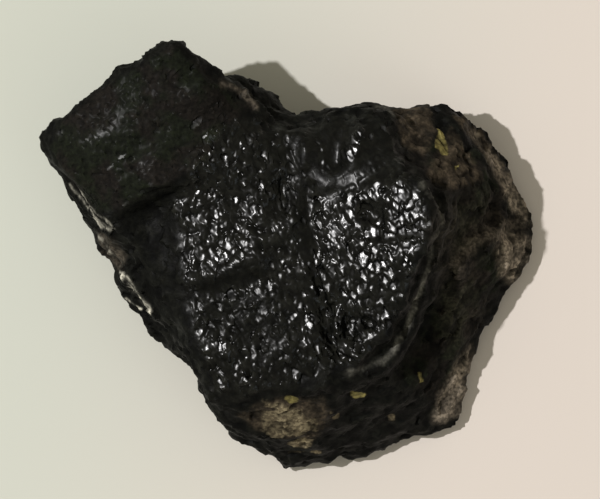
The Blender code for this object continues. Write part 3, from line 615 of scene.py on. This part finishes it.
# Pale grey on facets that face right and along a few edges: partly dust, partly painted sheen of the room
# reflected in them.
DUST_AND_SHEEN_AREAS = each(
    Patch.drawn,
    (1.2, (42.6, 6.0), (48.6, 3.6), (48.0, -1.0), (46.0, -5.4), (42.6, -4.0), (42.0, 1.0)),
    (
        1.2, (36.8, -18.4), (37.4, -20.0), (35.8, -26.0), (34.6, -31.8), (29.6, -33.4), (30.6, -28.0),
        (34.0, -22.0),
    ),
    (
        0.6, (37.4, 25.6), (42.0, 20.4), (48.4, 9.6), (48.6, 7.0), (45.6, 8.6), (39.8, 20.0),
        (36.4, 24.4),
    ),
) + each(
    Stroke.drawn,
    (1.2, 0.45, (34.0, -1.0), (38.2, 3.0), (43.4, 5.8), (48.4, 6.6)),
    (0.5, 0.4, (-13.2, 34.2), (-10.2, 33.4), (-8.2, 32.0), (-6.4, 29.6)),
)
FLANK_DUST = Patch.read(0.8, (96, 232), (112, 238), (126, 256), (120, 270), (106, 256))
SHELF_DUST = Patch.read(
    3.0, (432, 222), (462, 196), (504, 200), (500, 226), (480, 246), (478, 330), (446, 352)
)
# Painted highlights: pale strokes on the laminae of the left flank and along the ledge crest, in place of
# their glints and sheen.
PAINTED_HIGHLIGHT_STROKES = each(
    Stroke.read,
    (1.0, 0.55, (69, 183), (85, 204), (101, 222), (114, 231)),
    (0.8, 0.35, (74, 183), (88, 201), (97, 213)),
    (0.8, 0.3, (99, 214), (112, 227)),
    (1.2, 1.0, (122, 274), (134, 290), (152, 312)),
    (1.8, 0.7, (129, 284), (140, 297), (147, 306)),
    (0.9, 0.9, (125, 297), (133, 304), (141, 309)),
    (1.0, 0.5, (97, 234), (106, 246), (112, 256)),
    (1.6, 0.12, (376, 107), (386, 109), (393, 117)),
) + each(
    Stroke.drawn,
    (0.35, 0.10, (26.6, 14.2), (29.8, 11.2), (31.0, 6.2), (28.8, 3.2), (28.2, -3.0)),
    (0.45, 0.28, (28.2, -3.0), (25.6, -8.8), (24.6, -12.2), (23.4, -15.4), (21.4, -18.8)),
    (0.5, 0.10, (21.4, -18.8), (19.0, -21.0), (16.4, -22.2), (12.0, -23.4)),
)
# Where thin laminae, painted pale as highlights, show on the left flank.
SEAMS = each(
    Patch.read,
    (0.8, (62, 176), (95, 198), (122, 228), (114, 240), (92, 228), (66, 194)),
    (0.8, (116, 266), (140, 286), (158, 312), (152, 320), (120, 304)),
)


# ---- The lump ----


@dataclass
class CoalLump:
    """The lump of coal: the CAD solid, resampled and carved with its fine relief.

    Lengths are in millimetres and angles in degrees. A range says between which two values an effect
    fades in: of the upward part of a normal, unless its comment says otherwise.
    """

    node: str = "coal_lump"
    skin: str = "coal_skin"
    body: str = "root"
    slot: str = "coal"

    seed: int = 7
    voxel: float = 0.74
    merge_distance: float = 0.001
    parting_depth: float = 0.05
    parting_angle: float = 2.0
    # Which areas are refined, with the cuts to an edge, and how far up they have to face.
    refined: tuple[tuple[tuple[Patch, ...], int, float], ...] = (
        ((BRIGHT_COAL,), 2, 0.55),
        ((HEAD,), 1, 0.55),
        (SEAMS, 2, 0.0),
    )
    covered: float = 0.3  # from which share on a vertex counts as in an area
    calming_passes: int = 4
    rounding: float = 0.5
    sharp_angle: float = 30.0

    grooved: Range = (0.2, 0.6)
    ridge_height: float = 0.55
    plane_area: float = 34.0  # in square steps of the grid
    cleat_slope: tuple[float, float] = (0.289, -0.065)

    upward: Range = (0.35, 0.75)
    flank: Range = (0.45, 0.8)  # of the vertical part of a normal, up or down
    edge_size: float = 2.2
    edge_warp: float = 2.0
    stain_warp: float = 0.25  # of the edge's warp
    bright_breaks: Shatter = Shatter(size=(1.3, 2.4, 1.8), tilt=0.48, lean=CLEAT_LEAN)
    run_breaks: Shatter = Shatter(size=(1.1, 2.3, 1.6), tilt=0.10, lean=CLEAT_LEAN, stray=0.03)
    small_breaks: Shatter = Shatter(size=(0.75, 1.3, 1.0), tilt=0.28, lean=CLEAT_LEAN, stray=0.08)
    head_breaks: Shatter = Shatter(size=(1.0, 1.6, 1.1), tilt=0.42, lean=-50.0, stray=0.15)
    dull_breaks: tuple[Shatter, ...] = (
        Shatter(size=(3.4, 3.4, 2.2), tilt=0.40),
        Shatter(size=(1.7, 1.7, 1.3), tilt=0.30),
    )
    least_share: float = 0.01
    lit_from: float = 0.4  # the cover from which the usual cell is flat along the cleat
    lit_spread: float = 0.7  # how far that differs from cell to cell
    steepest: float = 0.3
    run_evenness: float = 0.85
    tame: float = 0.6
    tame_feather: float = 5.0
    bedding: Bedding = Bedding()
    lamina_step: float = 0.16

    calm: float = 0.8
    calm_gloss: float = 1.2
    hush: float = 0.45
    head_gleam: float = 0.55
    head_satin: float = 0.06
    flank_dust: float = 0.3
    shelf_dust: float = 0.09
    film_facing: Range = (0.0, 0.5)
    # The painted highlights show on laminae that stand out this far, and on faces that look up.
    painted_highlight_beds: Range = (-0.25, 0.25)  # of how far a lamina stands out
    relief_range: Range = (-0.30, 0.30)  # of the height of the breaks

    planes: tuple[Facet, ...] = ()
    facets: tuple[Facet, ...] = ()
    zones: dict[Zone, np.ndarray] = field(default_factory=dict)

    def __post_init__(self) -> None:
        """Part the noted breaks into the large planes and the small facets."""
        large = [reading for reading in CLEAT_BREAKS if reading[2] * reading[3] > self.plane_area]
        self.planes = each(Facet.read, *large)
        self.facets = each(Facet.read, *(reading for reading in CLEAT_BREAKS if reading not in large))

    def build(self) -> bpy.types.Object:
        """Make the carved lump and hang it on the frame.

        Returns:
            The finished piece.
        """
        noise.seed_set(self.seed)  # unseeded, Blender's noise vectors follow the clock
        mesh = self.resampled()
        bm = bmesh.new()
        bm.from_mesh(mesh)
        self.thin_parting(bm)
        self.refine(bm)
        self.groove(bm)
        self.carve(bm)
        bmesh.ops.triangulate(bm, faces=bm.faces)
        bmesh.ops.recalc_face_normals(bm, faces=bm.faces)
        bm.to_mesh(mesh)
        bm.free()
        mesh.name = self.skin
        mesh.shade_smooth()
        mesh.set_sharp_from_angle(angle=math.radians(self.sharp_angle))
        self.write_zones(mesh)
        piece = bpy.data.objects.new(self.skin, mesh)
        bpy.context.scene.collection.objects.link(piece)
        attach(piece, self.body)
        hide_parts(self.node)
        LOG.info("%s: %d triangles", piece.name, len(mesh.polygons))
        return piece

    def resampled(self) -> bpy.types.Mesh:
        """Copy the CAD solid, merge its loose triangles and resample it evenly.

        Returns:
            The even mesh.
        """
        bm = bmesh.new()
        bm.from_mesh(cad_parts[self.node].data)
        bmesh.ops.remove_doubles(bm, verts=bm.verts, dist=self.merge_distance * MM)
        merged = bpy.data.meshes.new("merged")
        bm.to_mesh(merged)
        bm.free()
        holder = bpy.data.objects.new("holder", merged)
        bpy.context.scene.collection.objects.link(holder)
        remesh = holder.modifiers.new("even", "REMESH")
        remesh.mode = "VOXEL"
        remesh.voxel_size = self.voxel * MM
        graph = bpy.context.evaluated_depsgraph_get()
        mesh = bpy.data.meshes.new_from_object(holder.evaluated_get(graph))
        bpy.data.objects.remove(holder)
        return mesh

    def thin_parting(self, bm: Mesh) -> None:
        """Merge the faces of the flat parting, which needs none of them.

        Args:
            bm: The resampled lump.
        """
        level = min(vert.co.z for vert in bm.verts) + self.parting_depth * MM
        flat = [face for face in bm.faces if all(vert.co.z < level for vert in face.verts)]
        edges = list(dict.fromkeys(edge for face in flat for edge in face.edges))
        verts = list(dict.fromkeys(vert for face in flat for vert in face.verts))
        angle = math.radians(self.parting_angle)
        bmesh.ops.dissolve_limit(bm, angle_limit=angle, verts=verts, edges=edges)

    def soften(self, bm: Mesh, verts: list[bmesh.types.BMVert]) -> None:
        """Smooth some vertices a little.

        Args:
            bm: The lump.
            verts: The vertices.
        """
        axes = {"use_axis_x": True, "use_axis_y": True, "use_axis_z": True}
        bmesh.ops.smooth_vert(bm, verts=verts, factor=self.rounding, **axes)

    def refine(self, bm: Mesh) -> None:
        """Split the edges of the bright coal, the head and the seams, so that they can hold their detail.

        Args:
            bm: The resampled lump.
        """
        self.soften(bm, list(bm.verts))
        bm.normal_update()
        for areas, cuts, facing in self.refined:
            plan, _, normals = self.arrays(bm)
            chosen = (most(areas, plan) > self.covered) & (normals[:, 2] > facing)
            if BRIGHT_COAL in areas:
                for _ in range(self.calming_passes):
                    self.soften(bm, [vert for vert in bm.verts if chosen[vert.index]])
            edges = [edge for edge in bm.edges if all(chosen[vert.index] for vert in edge.verts)]
            bmesh.ops.subdivide_edges(bm, edges=edges, cuts=cuts, use_grid_fill=True)
            bm.normal_update()

    def arrays(self, bm: Mesh) -> tuple[np.ndarray, np.ndarray, np.ndarray]:
        """Read the vertices into arrays.

        Args:
            bm: The lump.

        Returns:
            Their places in the survey's plan, their heights and their normals, in millimetres.
        """
        bm.verts.index_update()
        places = np.array([vert.co for vert in bm.verts]) / MM
        normals = np.array([vert.normal for vert in bm.verts])
        return places[:, :2] - np.array(SURVEY_ZERO), places[:, 2], normals

    def groove(self, bm: Mesh) -> None:
        """Cut the grooves, pits, ribs and larger mirrors of the bright coal.

        Args:
            bm: The refined lump.
        """
        plan, _, normals = self.arrays(bm)
        depths = sum(stroke.cover(plan) for stroke in STROKES) - self.ridge_height * most(RIDGES, plan)
        depths *= smooth_step(normals[:, 2], *self.grooved)
        for vert in bm.verts:
            vert.co -= vert.normal * depths[vert.index] * MM
        plan, height, normals = self.arrays(bm)
        for plane in self.planes:
            share = plane.cover(plan) * (normals[:, 2] > self.upward[0])
            middle = np.average(plan, axis=0, weights=share)
            level = np.average(height, weights=share)
            height += share * (level + (plan - middle) @ np.array(self.cleat_slope) - height)
        for vert in bm.verts:
            vert.co.z = height[vert.index] * MM
        bm.normal_update()

    def carve(self, bm: Mesh) -> None:
        """Carve the fine relief, and note which kind of coal each vertex is.

        Args:
            bm: The refined lump.
        """
        plan, height, normals = self.arrays(bm)
        places = np.column_stack((plan, height))
        up = smooth_step(normals[:, 2], *self.upward)
        warp = np.array([noise.noise_vector(Vector(place) / self.edge_size)[:2] for place in places])
        warp *= self.edge_warp
        ragged = plan + warp
        gloss = BRIGHT_COAL.cover(ragged) * up
        head = HEAD.cover(ragged) * up * (1.0 - gloss)
        dull = (1.0 - gloss) * (1.0 - head)
        relief = np.zeros(len(places))
        calm = 1.0 - self.calm * most(CALM_AREAS, plan)
        tame = 1.0 - self.tame * Patch(HEAD.outline, self.tame_feather).cover(plan)
        lit = np.minimum(most(CLEAT_RUNS + RIDGES + self.planes, plan), 1.0)
        even = 1.0 - self.run_evenness * lit
        self.shatter(self.bright_breaks, (), gloss * calm * even, places, normals, relief)
        self.shatter(self.run_breaks, CLEAT_RUNS, gloss * calm, places, normals, relief)
        self.shatter(self.small_breaks, self.facets, gloss * calm * even, places, normals, relief)
        self.shatter(self.head_breaks, HEAD_RUNS, head, places, normals, relief)
        for breaks in self.dull_breaks:
            self.shatter(breaks, (), dull * tame, places, normals, relief)
        dulled = (self.calm_gloss + calm) / (1.0 + self.calm_gloss)
        dulled *= 1.0 - self.hush * most(HUSHED_AREAS, plan)
        gloss *= np.maximum(dulled, lit)
        beds = self.bedding.offsets(plan, height)
        self.zones = self.noted_zones(plan + self.stain_warp * warp, up, gloss, beds)
        self.zones[Zone.RELIEF] = smooth_step(relief, *self.relief_range)
        steep = 1.0 - smooth_step(np.abs(normals[:, 2]), *self.flank)
        relief += steep * self.lamina_step * beds
        places += normals * relief[:, None]
        places[:, :2] += np.array(SURVEY_ZERO)
        low, high = (np.array(corner) for corner in CAD_BOX)
        for vert, place in zip(bm.verts, np.clip(places * MM, low, high)):
            vert.co = place
        self.soften(bm, [vert for vert in bm.verts if gloss[vert.index] > self.covered])

    def shatter(
        self,
        breaks: Shatter,
        lit: tuple[Area, ...],
        share: np.ndarray,
        places: np.ndarray,
        normals: np.ndarray,
        relief: np.ndarray,
    ) -> None:
        """Shatter the surface, with some of the breaks flat along the cleat.

        Args:
            breaks: The kind of break.
            lit: Where the breaks lie along the cleat.
            share: How deep the breaks are at each vertex.
            places: The vertices.
            normals: Their normals.
            relief: How far each vertex is raised along its normal, which is updated.
        """
        chosen = np.flatnonzero(share > self.least_share)
        away, own = breaks.cells(places[chosen])
        lift = (away[:, :2] * own[:, :2]).sum(axis=1) * breaks.tilt * share[chosen]
        if lit:
            cover = most(lit, places[chosen, :2] - away[:, :2])
            mirrored = cover > self.lit_spread * own[:, 2] + self.lit_from
            here = places[chosen]
            here[:, 2] += relief[chosen] / np.maximum(normals[chosen, 2], self.steepest)
            cell = np.unique(own, axis=0, return_inverse=True)[1].reshape(-1)
            means = np.column_stack([np.bincount(cell, here[:, axis]) for axis in range(3)])
            means /= np.bincount(cell)[:, None]
            slope = np.array(self.cleat_slope) + own[:, 1::-1] * breaks.stray
            flat = means[cell, 2] + ((here - means[cell])[:, :2] * slope).sum(axis=1)
            lift = np.where(mirrored, (flat - here[:, 2]) * normals[chosen, 2], lift)
        relief[chosen] += lift

    def noted_zones(
        self, plan: np.ndarray, up: np.ndarray, gloss: np.ndarray, beds: np.ndarray
    ) -> dict[Zone, np.ndarray]:
        """Note which kind of coal, or what lying on it, each vertex shows, and where highlights and sheen
        are painted.

        Args:
            plan: The vertices in plan.
            up: How far each faces up.
            gloss: How much of each is bright coal.
            beds: How far the lamina that each is in stands out.

        Returns:
            One share a vertex for each zone.
        """
        shine = np.maximum(self.head_gleam * most(HEAD_RUNS, plan), self.head_satin * HEAD.cover(plan))
        dust = self.flank_dust * FLANK_DUST.cover(plan) + self.shelf_dust * SHELF_DUST.cover(plan)
        highlight_painted = np.maximum(up, smooth_step(beds, *self.painted_highlight_beds))
        return {
            Zone.GLOSS: np.maximum(gloss, up * shine),
            Zone.FILM: most(FILM_PATCHES, plan) * smooth_step(up, *self.film_facing),
            Zone.UMBER: most(UMBER_PATCHES, plan),
            Zone.SAGE: most(SAGE_PATCHES, plan),
            Zone.DUST_AND_SHEEN: most(DUST_AND_SHEEN_AREAS, plan) + dust,
            Zone.PAINTED_HIGHLIGHT: most(PAINTED_HIGHLIGHT_STROKES, plan) * highlight_painted,
            Zone.OCHRE: most(OCHRE_PATCHES, plan),
        }

    def write_zones(self, mesh: bpy.types.Mesh) -> None:
        """Write the zones to the mesh as attributes of its vertices.

        Args:
            mesh: The finished mesh.
        """
        for zone, shares in self.zones.items():
            attribute = mesh.attributes.new(zone.value, "FLOAT", "POINT")
            attribute.data.foreach_set("value", shares.astype(np.float32))


# ---- The finishes ----


@dataclass(frozen=True)
class Pattern:
    """A noise pattern: its repeats a millimetre, and between which of its values it is stretched."""

    repeats: float
    detail: float
    distortion: float = 0.0
    low: float = 0.0
    high: float = 1.0
    stretch: tuple[float, float, float] = (1.0, 1.0, 1.0)
    turn: float = 0.0


class Graph:
    """A thin hand for building one node tree."""

    # The first input, the second input and the output of a Mix node, by the kind of data that it mixes.
    MIX_SOCKETS = {"RGBA": (6, 7, 2), "FLOAT": (2, 3, 0)}

    def __init__(self, material: bpy.types.Material) -> None:
        """Start on a material's own tree.

        Args:
            material: The material to build.
        """
        material.use_nodes = True
        self.tree = material.node_tree
        self.shader = self.tree.nodes["Principled BSDF"]

    def node(self, kind: str, **settings: object) -> bpy.types.Node:
        """Add a node.

        Args:
            kind: The node's type.
            settings: Its properties by name.

        Returns:
            The node.
        """
        node = self.tree.nodes.new(kind)
        for name, value in settings.items():
            setattr(node, name, value)
        return node

    def feed(self, socket: Socket, value: object) -> None:
        """Give a socket a value, or link another socket into it.

        Args:
            socket: The input socket.
            value: A number, a colour or an output socket.
        """
        if isinstance(value, Socket):
            self.tree.links.new(value, socket)
        else:
            socket.default_value = value

    def plug(self, node: bpy.types.Node, values: dict[str, object]) -> None:
        """Feed several inputs of a node.

        Args:
            node: The node.
            values: The numbers, colours or output sockets by the inputs' names.
        """
        for name, value in values.items():
            self.feed(node.inputs[name], value)

    def attribute(self, zone: Zone) -> Socket:
        """Read a zone of the mesh."""
        return self.node("ShaderNodeAttribute", attribute_name=zone.value).outputs["Fac"]

    def math(self, operation: str, *values: object) -> Socket:
        """Work out a number from others.

        Args:
            operation: The Math node's operation.
            values: Numbers or output sockets.

        Returns:
            The result.
        """
        node = self.node("ShaderNodeMath", operation=operation)
        for socket, value in zip(node.inputs, values):
            self.feed(socket, value)
        return node.outputs[0]

    def mix(self, kind: str, share: object, start: object, end: object, mode: str = "MIX") -> Socket:
        """Mix two values.

        Args:
            kind: The kind of data that they are.
            share: How much of the second shows.
            start: The first value.
            end: The second value.
            mode: How they are mixed.

        Returns:
            The mixed value.
        """
        node = self.node("ShaderNodeMix", data_type=kind, blend_type=mode)
        first, second, result = self.MIX_SOCKETS[kind]
        for place, value in ((0, share), (first, start), (second, end)):
            self.feed(node.inputs[place], value)
        return node.outputs[result]

    def blend(self, share: object, start: object, end: object, mode: str = "MIX") -> Socket:
        """Mix two colours."""
        return self.mix("RGBA", share, start, end, mode)

    def lerp(self, share: object, start: object, end: object) -> Socket:
        """Mix two numbers."""
        return self.mix("FLOAT", share, start, end)

    def place(self, repeats: tuple[float, float, float], turn: float = 0.0) -> Socket:
        """Read the piece's own coordinates, turned about Z and then scaled.

        Args:
            repeats: Pattern repeats a millimetre along each axis.
            turn: The turn about Z, in degrees.

        Returns:
            The coordinates.
        """
        own = self.node("ShaderNodeTexCoord").outputs["Object"]
        turned_place = self.node("ShaderNodeMapping")
        self.plug(turned_place, {"Vector": own, "Rotation": (0.0, 0.0, math.radians(turn))})
        scale = tuple(repeat / MM for repeat in repeats)
        scaled = self.node("ShaderNodeMapping")
        self.plug(scaled, {"Vector": turned_place.outputs[0], "Scale": scale})
        return scaled.outputs[0]

    def noise(self, pattern: Pattern) -> Socket:
        """Add a noise texture.

        Args:
            pattern: What it is like.

        Returns:
            Its factor, not stretched.
        """
        node = self.node("ShaderNodeTexNoise")
        repeats = tuple(pattern.repeats * stretch for stretch in pattern.stretch)
        values = {"Vector": self.place(repeats, pattern.turn), "Scale": 1.0}
        self.plug(node, values | {"Detail": pattern.detail, "Distortion": pattern.distortion})
        return node.outputs["Fac"]

    def ramp(self, value: object, low: float, high: float) -> Socket:
        """Stretch a range of a number to 0 to 1, with soft ends.

        Args:
            value: The number.
            low: What becomes 0.
            high: What becomes 1.

        Returns:
            The share.
        """
        node = self.node("ShaderNodeMapRange", interpolation_type="SMOOTHSTEP")
        self.plug(node, {"Value": value, "From Min": low, "From Max": high})
        return node.outputs[0]

    def speckle(self, pattern: Pattern) -> Socket:
        """Add a noise texture, stretched between its two values."""
        return self.ramp(self.noise(pattern), pattern.low, pattern.high)


@dataclass(frozen=True)
class CoalFinish:
    """Bright and dull coal, with the minerals that stain it, and its painted highlights, sheen and shade.
    """

    black: Colour = (0.0012, 0.0013, 0.0010, 1.0)
    slate: Colour = (0.0042, 0.0043, 0.0032, 1.0)
    sage: Colour = (0.0055, 0.0070, 0.0034, 1.0)
    plum: Colour = (0.0074, 0.0060, 0.0048, 1.0)
    umber: Colour = (0.0430, 0.0330, 0.0225, 1.0)
    film: Colour = (0.1050, 0.0840, 0.0530, 1.0)
    film_pale: Colour = (0.1350, 0.1120, 0.0700, 1.0)
    # Pale grey of dust and of painted sheen.
    dust_and_sheen: Colour = (0.1750, 0.1450, 0.1120, 1.0)
    # Pale colour of the painted highlights.
    painted_highlight: Colour = (0.4800, 0.4600, 0.3900, 1.0)
    ochre: Colour = (0.1500, 0.1270, 0.0450, 1.0)

    bright_roughness: float = 0.15
    satin_roughness: float = 0.36
    dull_roughness: float = 0.52
    smeared_roughness: float = 0.80
    film_roughness: float = 0.85
    sage_roughness: float = 0.78
    index: float = 1.5
    specular_level: float = 0.10
    satin_coat: float = 0.26
    satin_index: float = 1.35
    satin_range: Range = (0.2, 1.0)  # the coat's weight in the hollows and on the crests

    mottle: Pattern = Pattern(0.55, 4.0, 0.6, 0.38, 0.62)
    grain: Pattern = Pattern(1.4, 4.0, 0.0, 0.40, 0.60)
    blotch: Pattern = Pattern(0.16, 3.0, 0.0, 0.42, 0.58)
    smear: Pattern = Pattern(0.4, 4.0, 0.0, 0.35, 0.7)
    satin: Pattern = Pattern(1.0, 3.0, 0.0, 0.45, 0.62, (0.9, 0.5, 0.7), -CLEAT_LEAN)
    ripple: Pattern = Pattern(1.0, 2.0, 0.4, stretch=(1.4, 0.4, 0.7), turn=-CLEAT_LEAN)
    grit: Pattern = Pattern(1.6, 6.0, 0.3)
    broad_wear: Pattern = Pattern(0.12, 5.0, 0.4)
    fine_wear: Pattern = Pattern(0.55, 5.0, 0.4)
    ripple_height: float = 0.05
    grit_height: float = 0.16

    # How wide the broken edge of a stain is, and how little of the stain shows where it is thinnest.
    sage_edge: float = 0.35
    umber_edge: float = 0.3
    ochre_edge: float = 0.18
    film_edge: float = 0.25
    umber_least: float = 0.45
    dust_and_sheen_least: float = 0.75
    # How light the colour is in the dark and the light of the grain, and the painted shade in the hollows
    # and painted light on the crests of the breaks.
    grain_light: Range = (0.7, 1.3)
    hollow_shade_crest_light: Range = (0.3, 1.7)

    def dress(self, piece: bpy.types.Object) -> None:
        """Give a piece this finish.

        Args:
            piece: The lump.
        """
        material = bpy.data.materials.new("coal")
        graph = Graph(material)
        self.colour(graph)
        self.gloss(graph)
        self.relief(graph)
        piece.data.materials.append(material)

    def worn(self, graph: Graph, zone: Zone, pattern: Pattern, edge: float) -> Socket:
        """Break a zone's edge up with noise.

        Args:
            graph: The tree.
            zone: The zone.
            pattern: The noise.
            edge: How wide the broken edge is.

        Returns:
            The broken share.
        """
        speckle = graph.math("SUBTRACT", graph.noise(pattern), 0.5)
        share = graph.math("ADD", graph.attribute(zone), speckle)
        return graph.ramp(share, 0.5 - edge, 0.5 + edge)

    def colour(self, graph: Graph) -> None:
        """Paint the coal and its stains, with painted highlights on laminae and crests, painted sheen on
        some facets, and painted shade in the hollows of the breaks.

        Args:
            graph: The tree.
        """
        mottle = graph.speckle(self.mottle)
        grain = graph.speckle(self.grain)
        sage = self.worn(graph, Zone.SAGE, self.broad_wear, self.sage_edge)
        umber = self.worn(graph, Zone.UMBER, self.broad_wear, self.umber_edge)
        umber = graph.math("MULTIPLY", umber, graph.lerp(mottle, self.umber_least, 1.0))
        # Dust, and painted sheen on the right-facing facets, mottled by the grain.
        dust_and_sheen = graph.math("MULTIPLY", graph.attribute(Zone.DUST_AND_SHEEN), graph.lerp(grain, self.dust_and_sheen_least, 1.0))
        ochre = self.worn(graph, Zone.OCHRE, self.fine_wear, self.ochre_edge)
        film = self.worn(graph, Zone.FILM, self.fine_wear, self.film_edge)
        colour = graph.blend(mottle, self.black, self.slate)
        for share, stain in (
            (sage, graph.blend(graph.speckle(self.blotch), self.sage, self.plum)),
            (umber, self.umber),
            (dust_and_sheen, self.dust_and_sheen),
            # painted highlights
            (graph.attribute(Zone.PAINTED_HIGHLIGHT), self.painted_highlight),
            (ochre, self.ochre),
            (film, graph.blend(grain, self.film, self.film_pale)),
        ):
            colour = graph.blend(share, colour, stain)
        # Painted shade in the hollows of the breaks and painted light on their crests, times the grain's
        # own tone.
        light = graph.lerp(graph.attribute(Zone.RELIEF), *self.hollow_shade_crest_light)
        light = graph.math("MULTIPLY", graph.lerp(grain, *self.grain_light), light)
        graph.plug(graph.shader, {"Base Color": graph.blend(1.0, colour, light, "MULTIPLY")})

    def gloss(self, graph: Graph) -> None:
        """Set how glossy each kind of coal is.

        Args:
            graph: The tree.
        """
        gloss = graph.attribute(Zone.GLOSS)
        bright = graph.lerp(graph.speckle(self.satin), self.bright_roughness, self.satin_roughness)
        rough = graph.lerp(graph.speckle(self.smear), self.dull_roughness, self.smeared_roughness)
        rough = graph.lerp(graph.attribute(Zone.SAGE), rough, self.sage_roughness)
        rough = graph.lerp(gloss, rough, bright)
        rough = graph.lerp(graph.attribute(Zone.FILM), rough, self.film_roughness)
        satin = graph.lerp(graph.attribute(Zone.RELIEF), *self.satin_range)
        graph.plug(
            graph.shader,
            {
                "Roughness": rough,
                "Metallic": 0.0,
                "IOR": self.index,
                "Specular IOR Level": self.specular_level,
                "Coat Weight": graph.math("MULTIPLY", gloss, satin),
                "Coat Roughness": self.satin_coat,
                "Coat IOR": self.satin_index,
            },
        )

    def relief(self, graph: Graph) -> None:
        """Raise what is finer than the mesh: ripples on the bright coal and grit on the dull.

        Args:
            graph: The tree.
        """
        grit = graph.math("MULTIPLY", graph.noise(self.grit), self.grit_height)
        ripple = graph.math("MULTIPLY", graph.noise(self.ripple), self.ripple_height)
        height = graph.lerp(graph.attribute(Zone.GLOSS), grit, ripple)
        bump = graph.node("ShaderNodeBump")
        graph.plug(bump, {"Strength": 1.0, "Distance": MM, "Height": height})
        graph.plug(graph.shader, {"Normal": bump.outputs["Normal"]})


# ---- The studio ----


@dataclass(frozen=True)
class Lamp:
    """A soft lamp that shines on the lump. Its lengths are in metres."""

    name: str
    bearing: tuple[float, float, float]
    distance: float
    size: float
    power: float
    colour: tuple[float, float, float]

    def hang(self, target: Vector) -> None:
        """Hang the lamp.

        Args:
            target: What it is aimed at.
        """
        light = bpy.data.lights.new(self.name, "AREA")
        light.shape = "DISK"
        light.size = self.size
        light.energy = self.power
        light.color = self.colour
        lamp = bpy.data.objects.new(self.name, light)
        bpy.context.scene.collection.objects.link(lamp)
        towards = Vector(self.bearing).normalized()
        lamp.location = target + towards * self.distance
        lamp.rotation_euler = towards.to_track_quat("Z", "Y").to_euler()


@dataclass(frozen=True)
class Studio:
    """The pale table, the lamps and the camera straight above."""

    middle: tuple[float, float, float] = (2.40, 0.88, 18.0)  # millimetres
    field_of_view: float = 120.0  # millimetres across at the middle
    camera_distance: float = 2500.0  # millimetres
    camera_range: Range = (0.01, 20.0)  # metres
    sensor: float = 36.0
    table_size: float = 3.0  # metres
    # The table's colour is painted lighter and pinker towards the right, as light falls across it.
    table_painted_dim_side: Colour = (0.65, 0.67, 0.60, 1.0)
    table_painted_lit_side: Colour = (0.765, 0.69, 0.635, 1.0)
    table_turn: float = 19.0  # degrees from the view's width to the line along which the colour changes
    table_roughness: float = 0.8
    table_specular: float = 0.2
    ambient: Colour = (1.0, 0.95, 0.77, 1.0)
    ambient_strength: float = 0.34
    lamps: tuple[Lamp, ...] = (
        Lamp("key", (-0.5316, 0.1198, 0.8387), 2.5, 0.06, 49.4, (1.0, 0.985, 0.98)),
        Lamp("window", (0.6, -0.5, 0.6), 2.0, 1.0, 2.4, (0.80, 0.90, 1.0)),
    )

    def build(self) -> None:
        """Set the table, the lamps, the ambient light and the camera."""
        self.lay_table()
        target = Vector(self.middle) * MM
        for lamp in self.lamps:
            lamp.hang(target)
        self.light_room()
        self.set_camera(target)
        bpy.context.scene.view_settings.view_transform = "Standard"

    def lay_table(self) -> None:
        """Lay the pale table top under the lump, painted lighter and pinker towards the right as the light
        falls across it.
        """
        bm = bmesh.new()
        bmesh.ops.create_grid(bm, x_segments=4, y_segments=4, size=self.table_size / 2)
        mesh = bpy.data.meshes.new("table_top")
        bm.to_mesh(mesh)
        bm.free()
        table = bpy.data.objects.new("table_top", mesh)
        bpy.context.scene.collection.objects.link(table)
        material = bpy.data.materials.new("table_top")
        graph = Graph(material)
        place = graph.node("ShaderNodeSeparateXYZ")
        graph.plug(place, {"Vector": graph.place((1.0, 1.0, 1.0), self.table_turn)})
        half = self.field_of_view / 2
        share = graph.ramp(place.outputs["X"], -half, half)
        values = {"Base Color": graph.blend(share, self.table_painted_dim_side, self.table_painted_lit_side)}
        values |= {"Roughness": self.table_roughness, "Specular IOR Level": self.table_specular}
        graph.plug(graph.shader, values)
        mesh.materials.append(material)

    def light_room(self) -> None:
        """Fill the room with even light."""
        world = bpy.data.worlds.new("room")
        world.use_nodes = True
        background = world.node_tree.nodes["Background"]
        background.inputs["Color"].default_value = self.ambient
        background.inputs["Strength"].default_value = self.ambient_strength
        bpy.context.scene.world = world

    def set_camera(self, target: Vector) -> None:
        """Set the camera above the lump, looking straight down.

        Args:
            target: The middle of the view.
        """
        camera = bpy.data.cameras.new("camera")
        camera.sensor_width = self.sensor
        camera.lens = self.sensor * self.camera_distance / self.field_of_view
        camera.clip_start, camera.clip_end = self.camera_range
        holder = bpy.data.objects.new("camera", camera)
        holder.location = target + Vector((0.0, 0.0, self.camera_distance * MM))
        bpy.context.scene.collection.objects.link(holder)
        bpy.context.scene.camera = holder


def main() -> None:
    """Build the lump and its studio."""
    logging.basicConfig(level=logging.INFO)
    lump = CoalLump().build()
    CoalFinish().dress(lump)
    Studio().build()


if __name__ == "__main__":
    main()
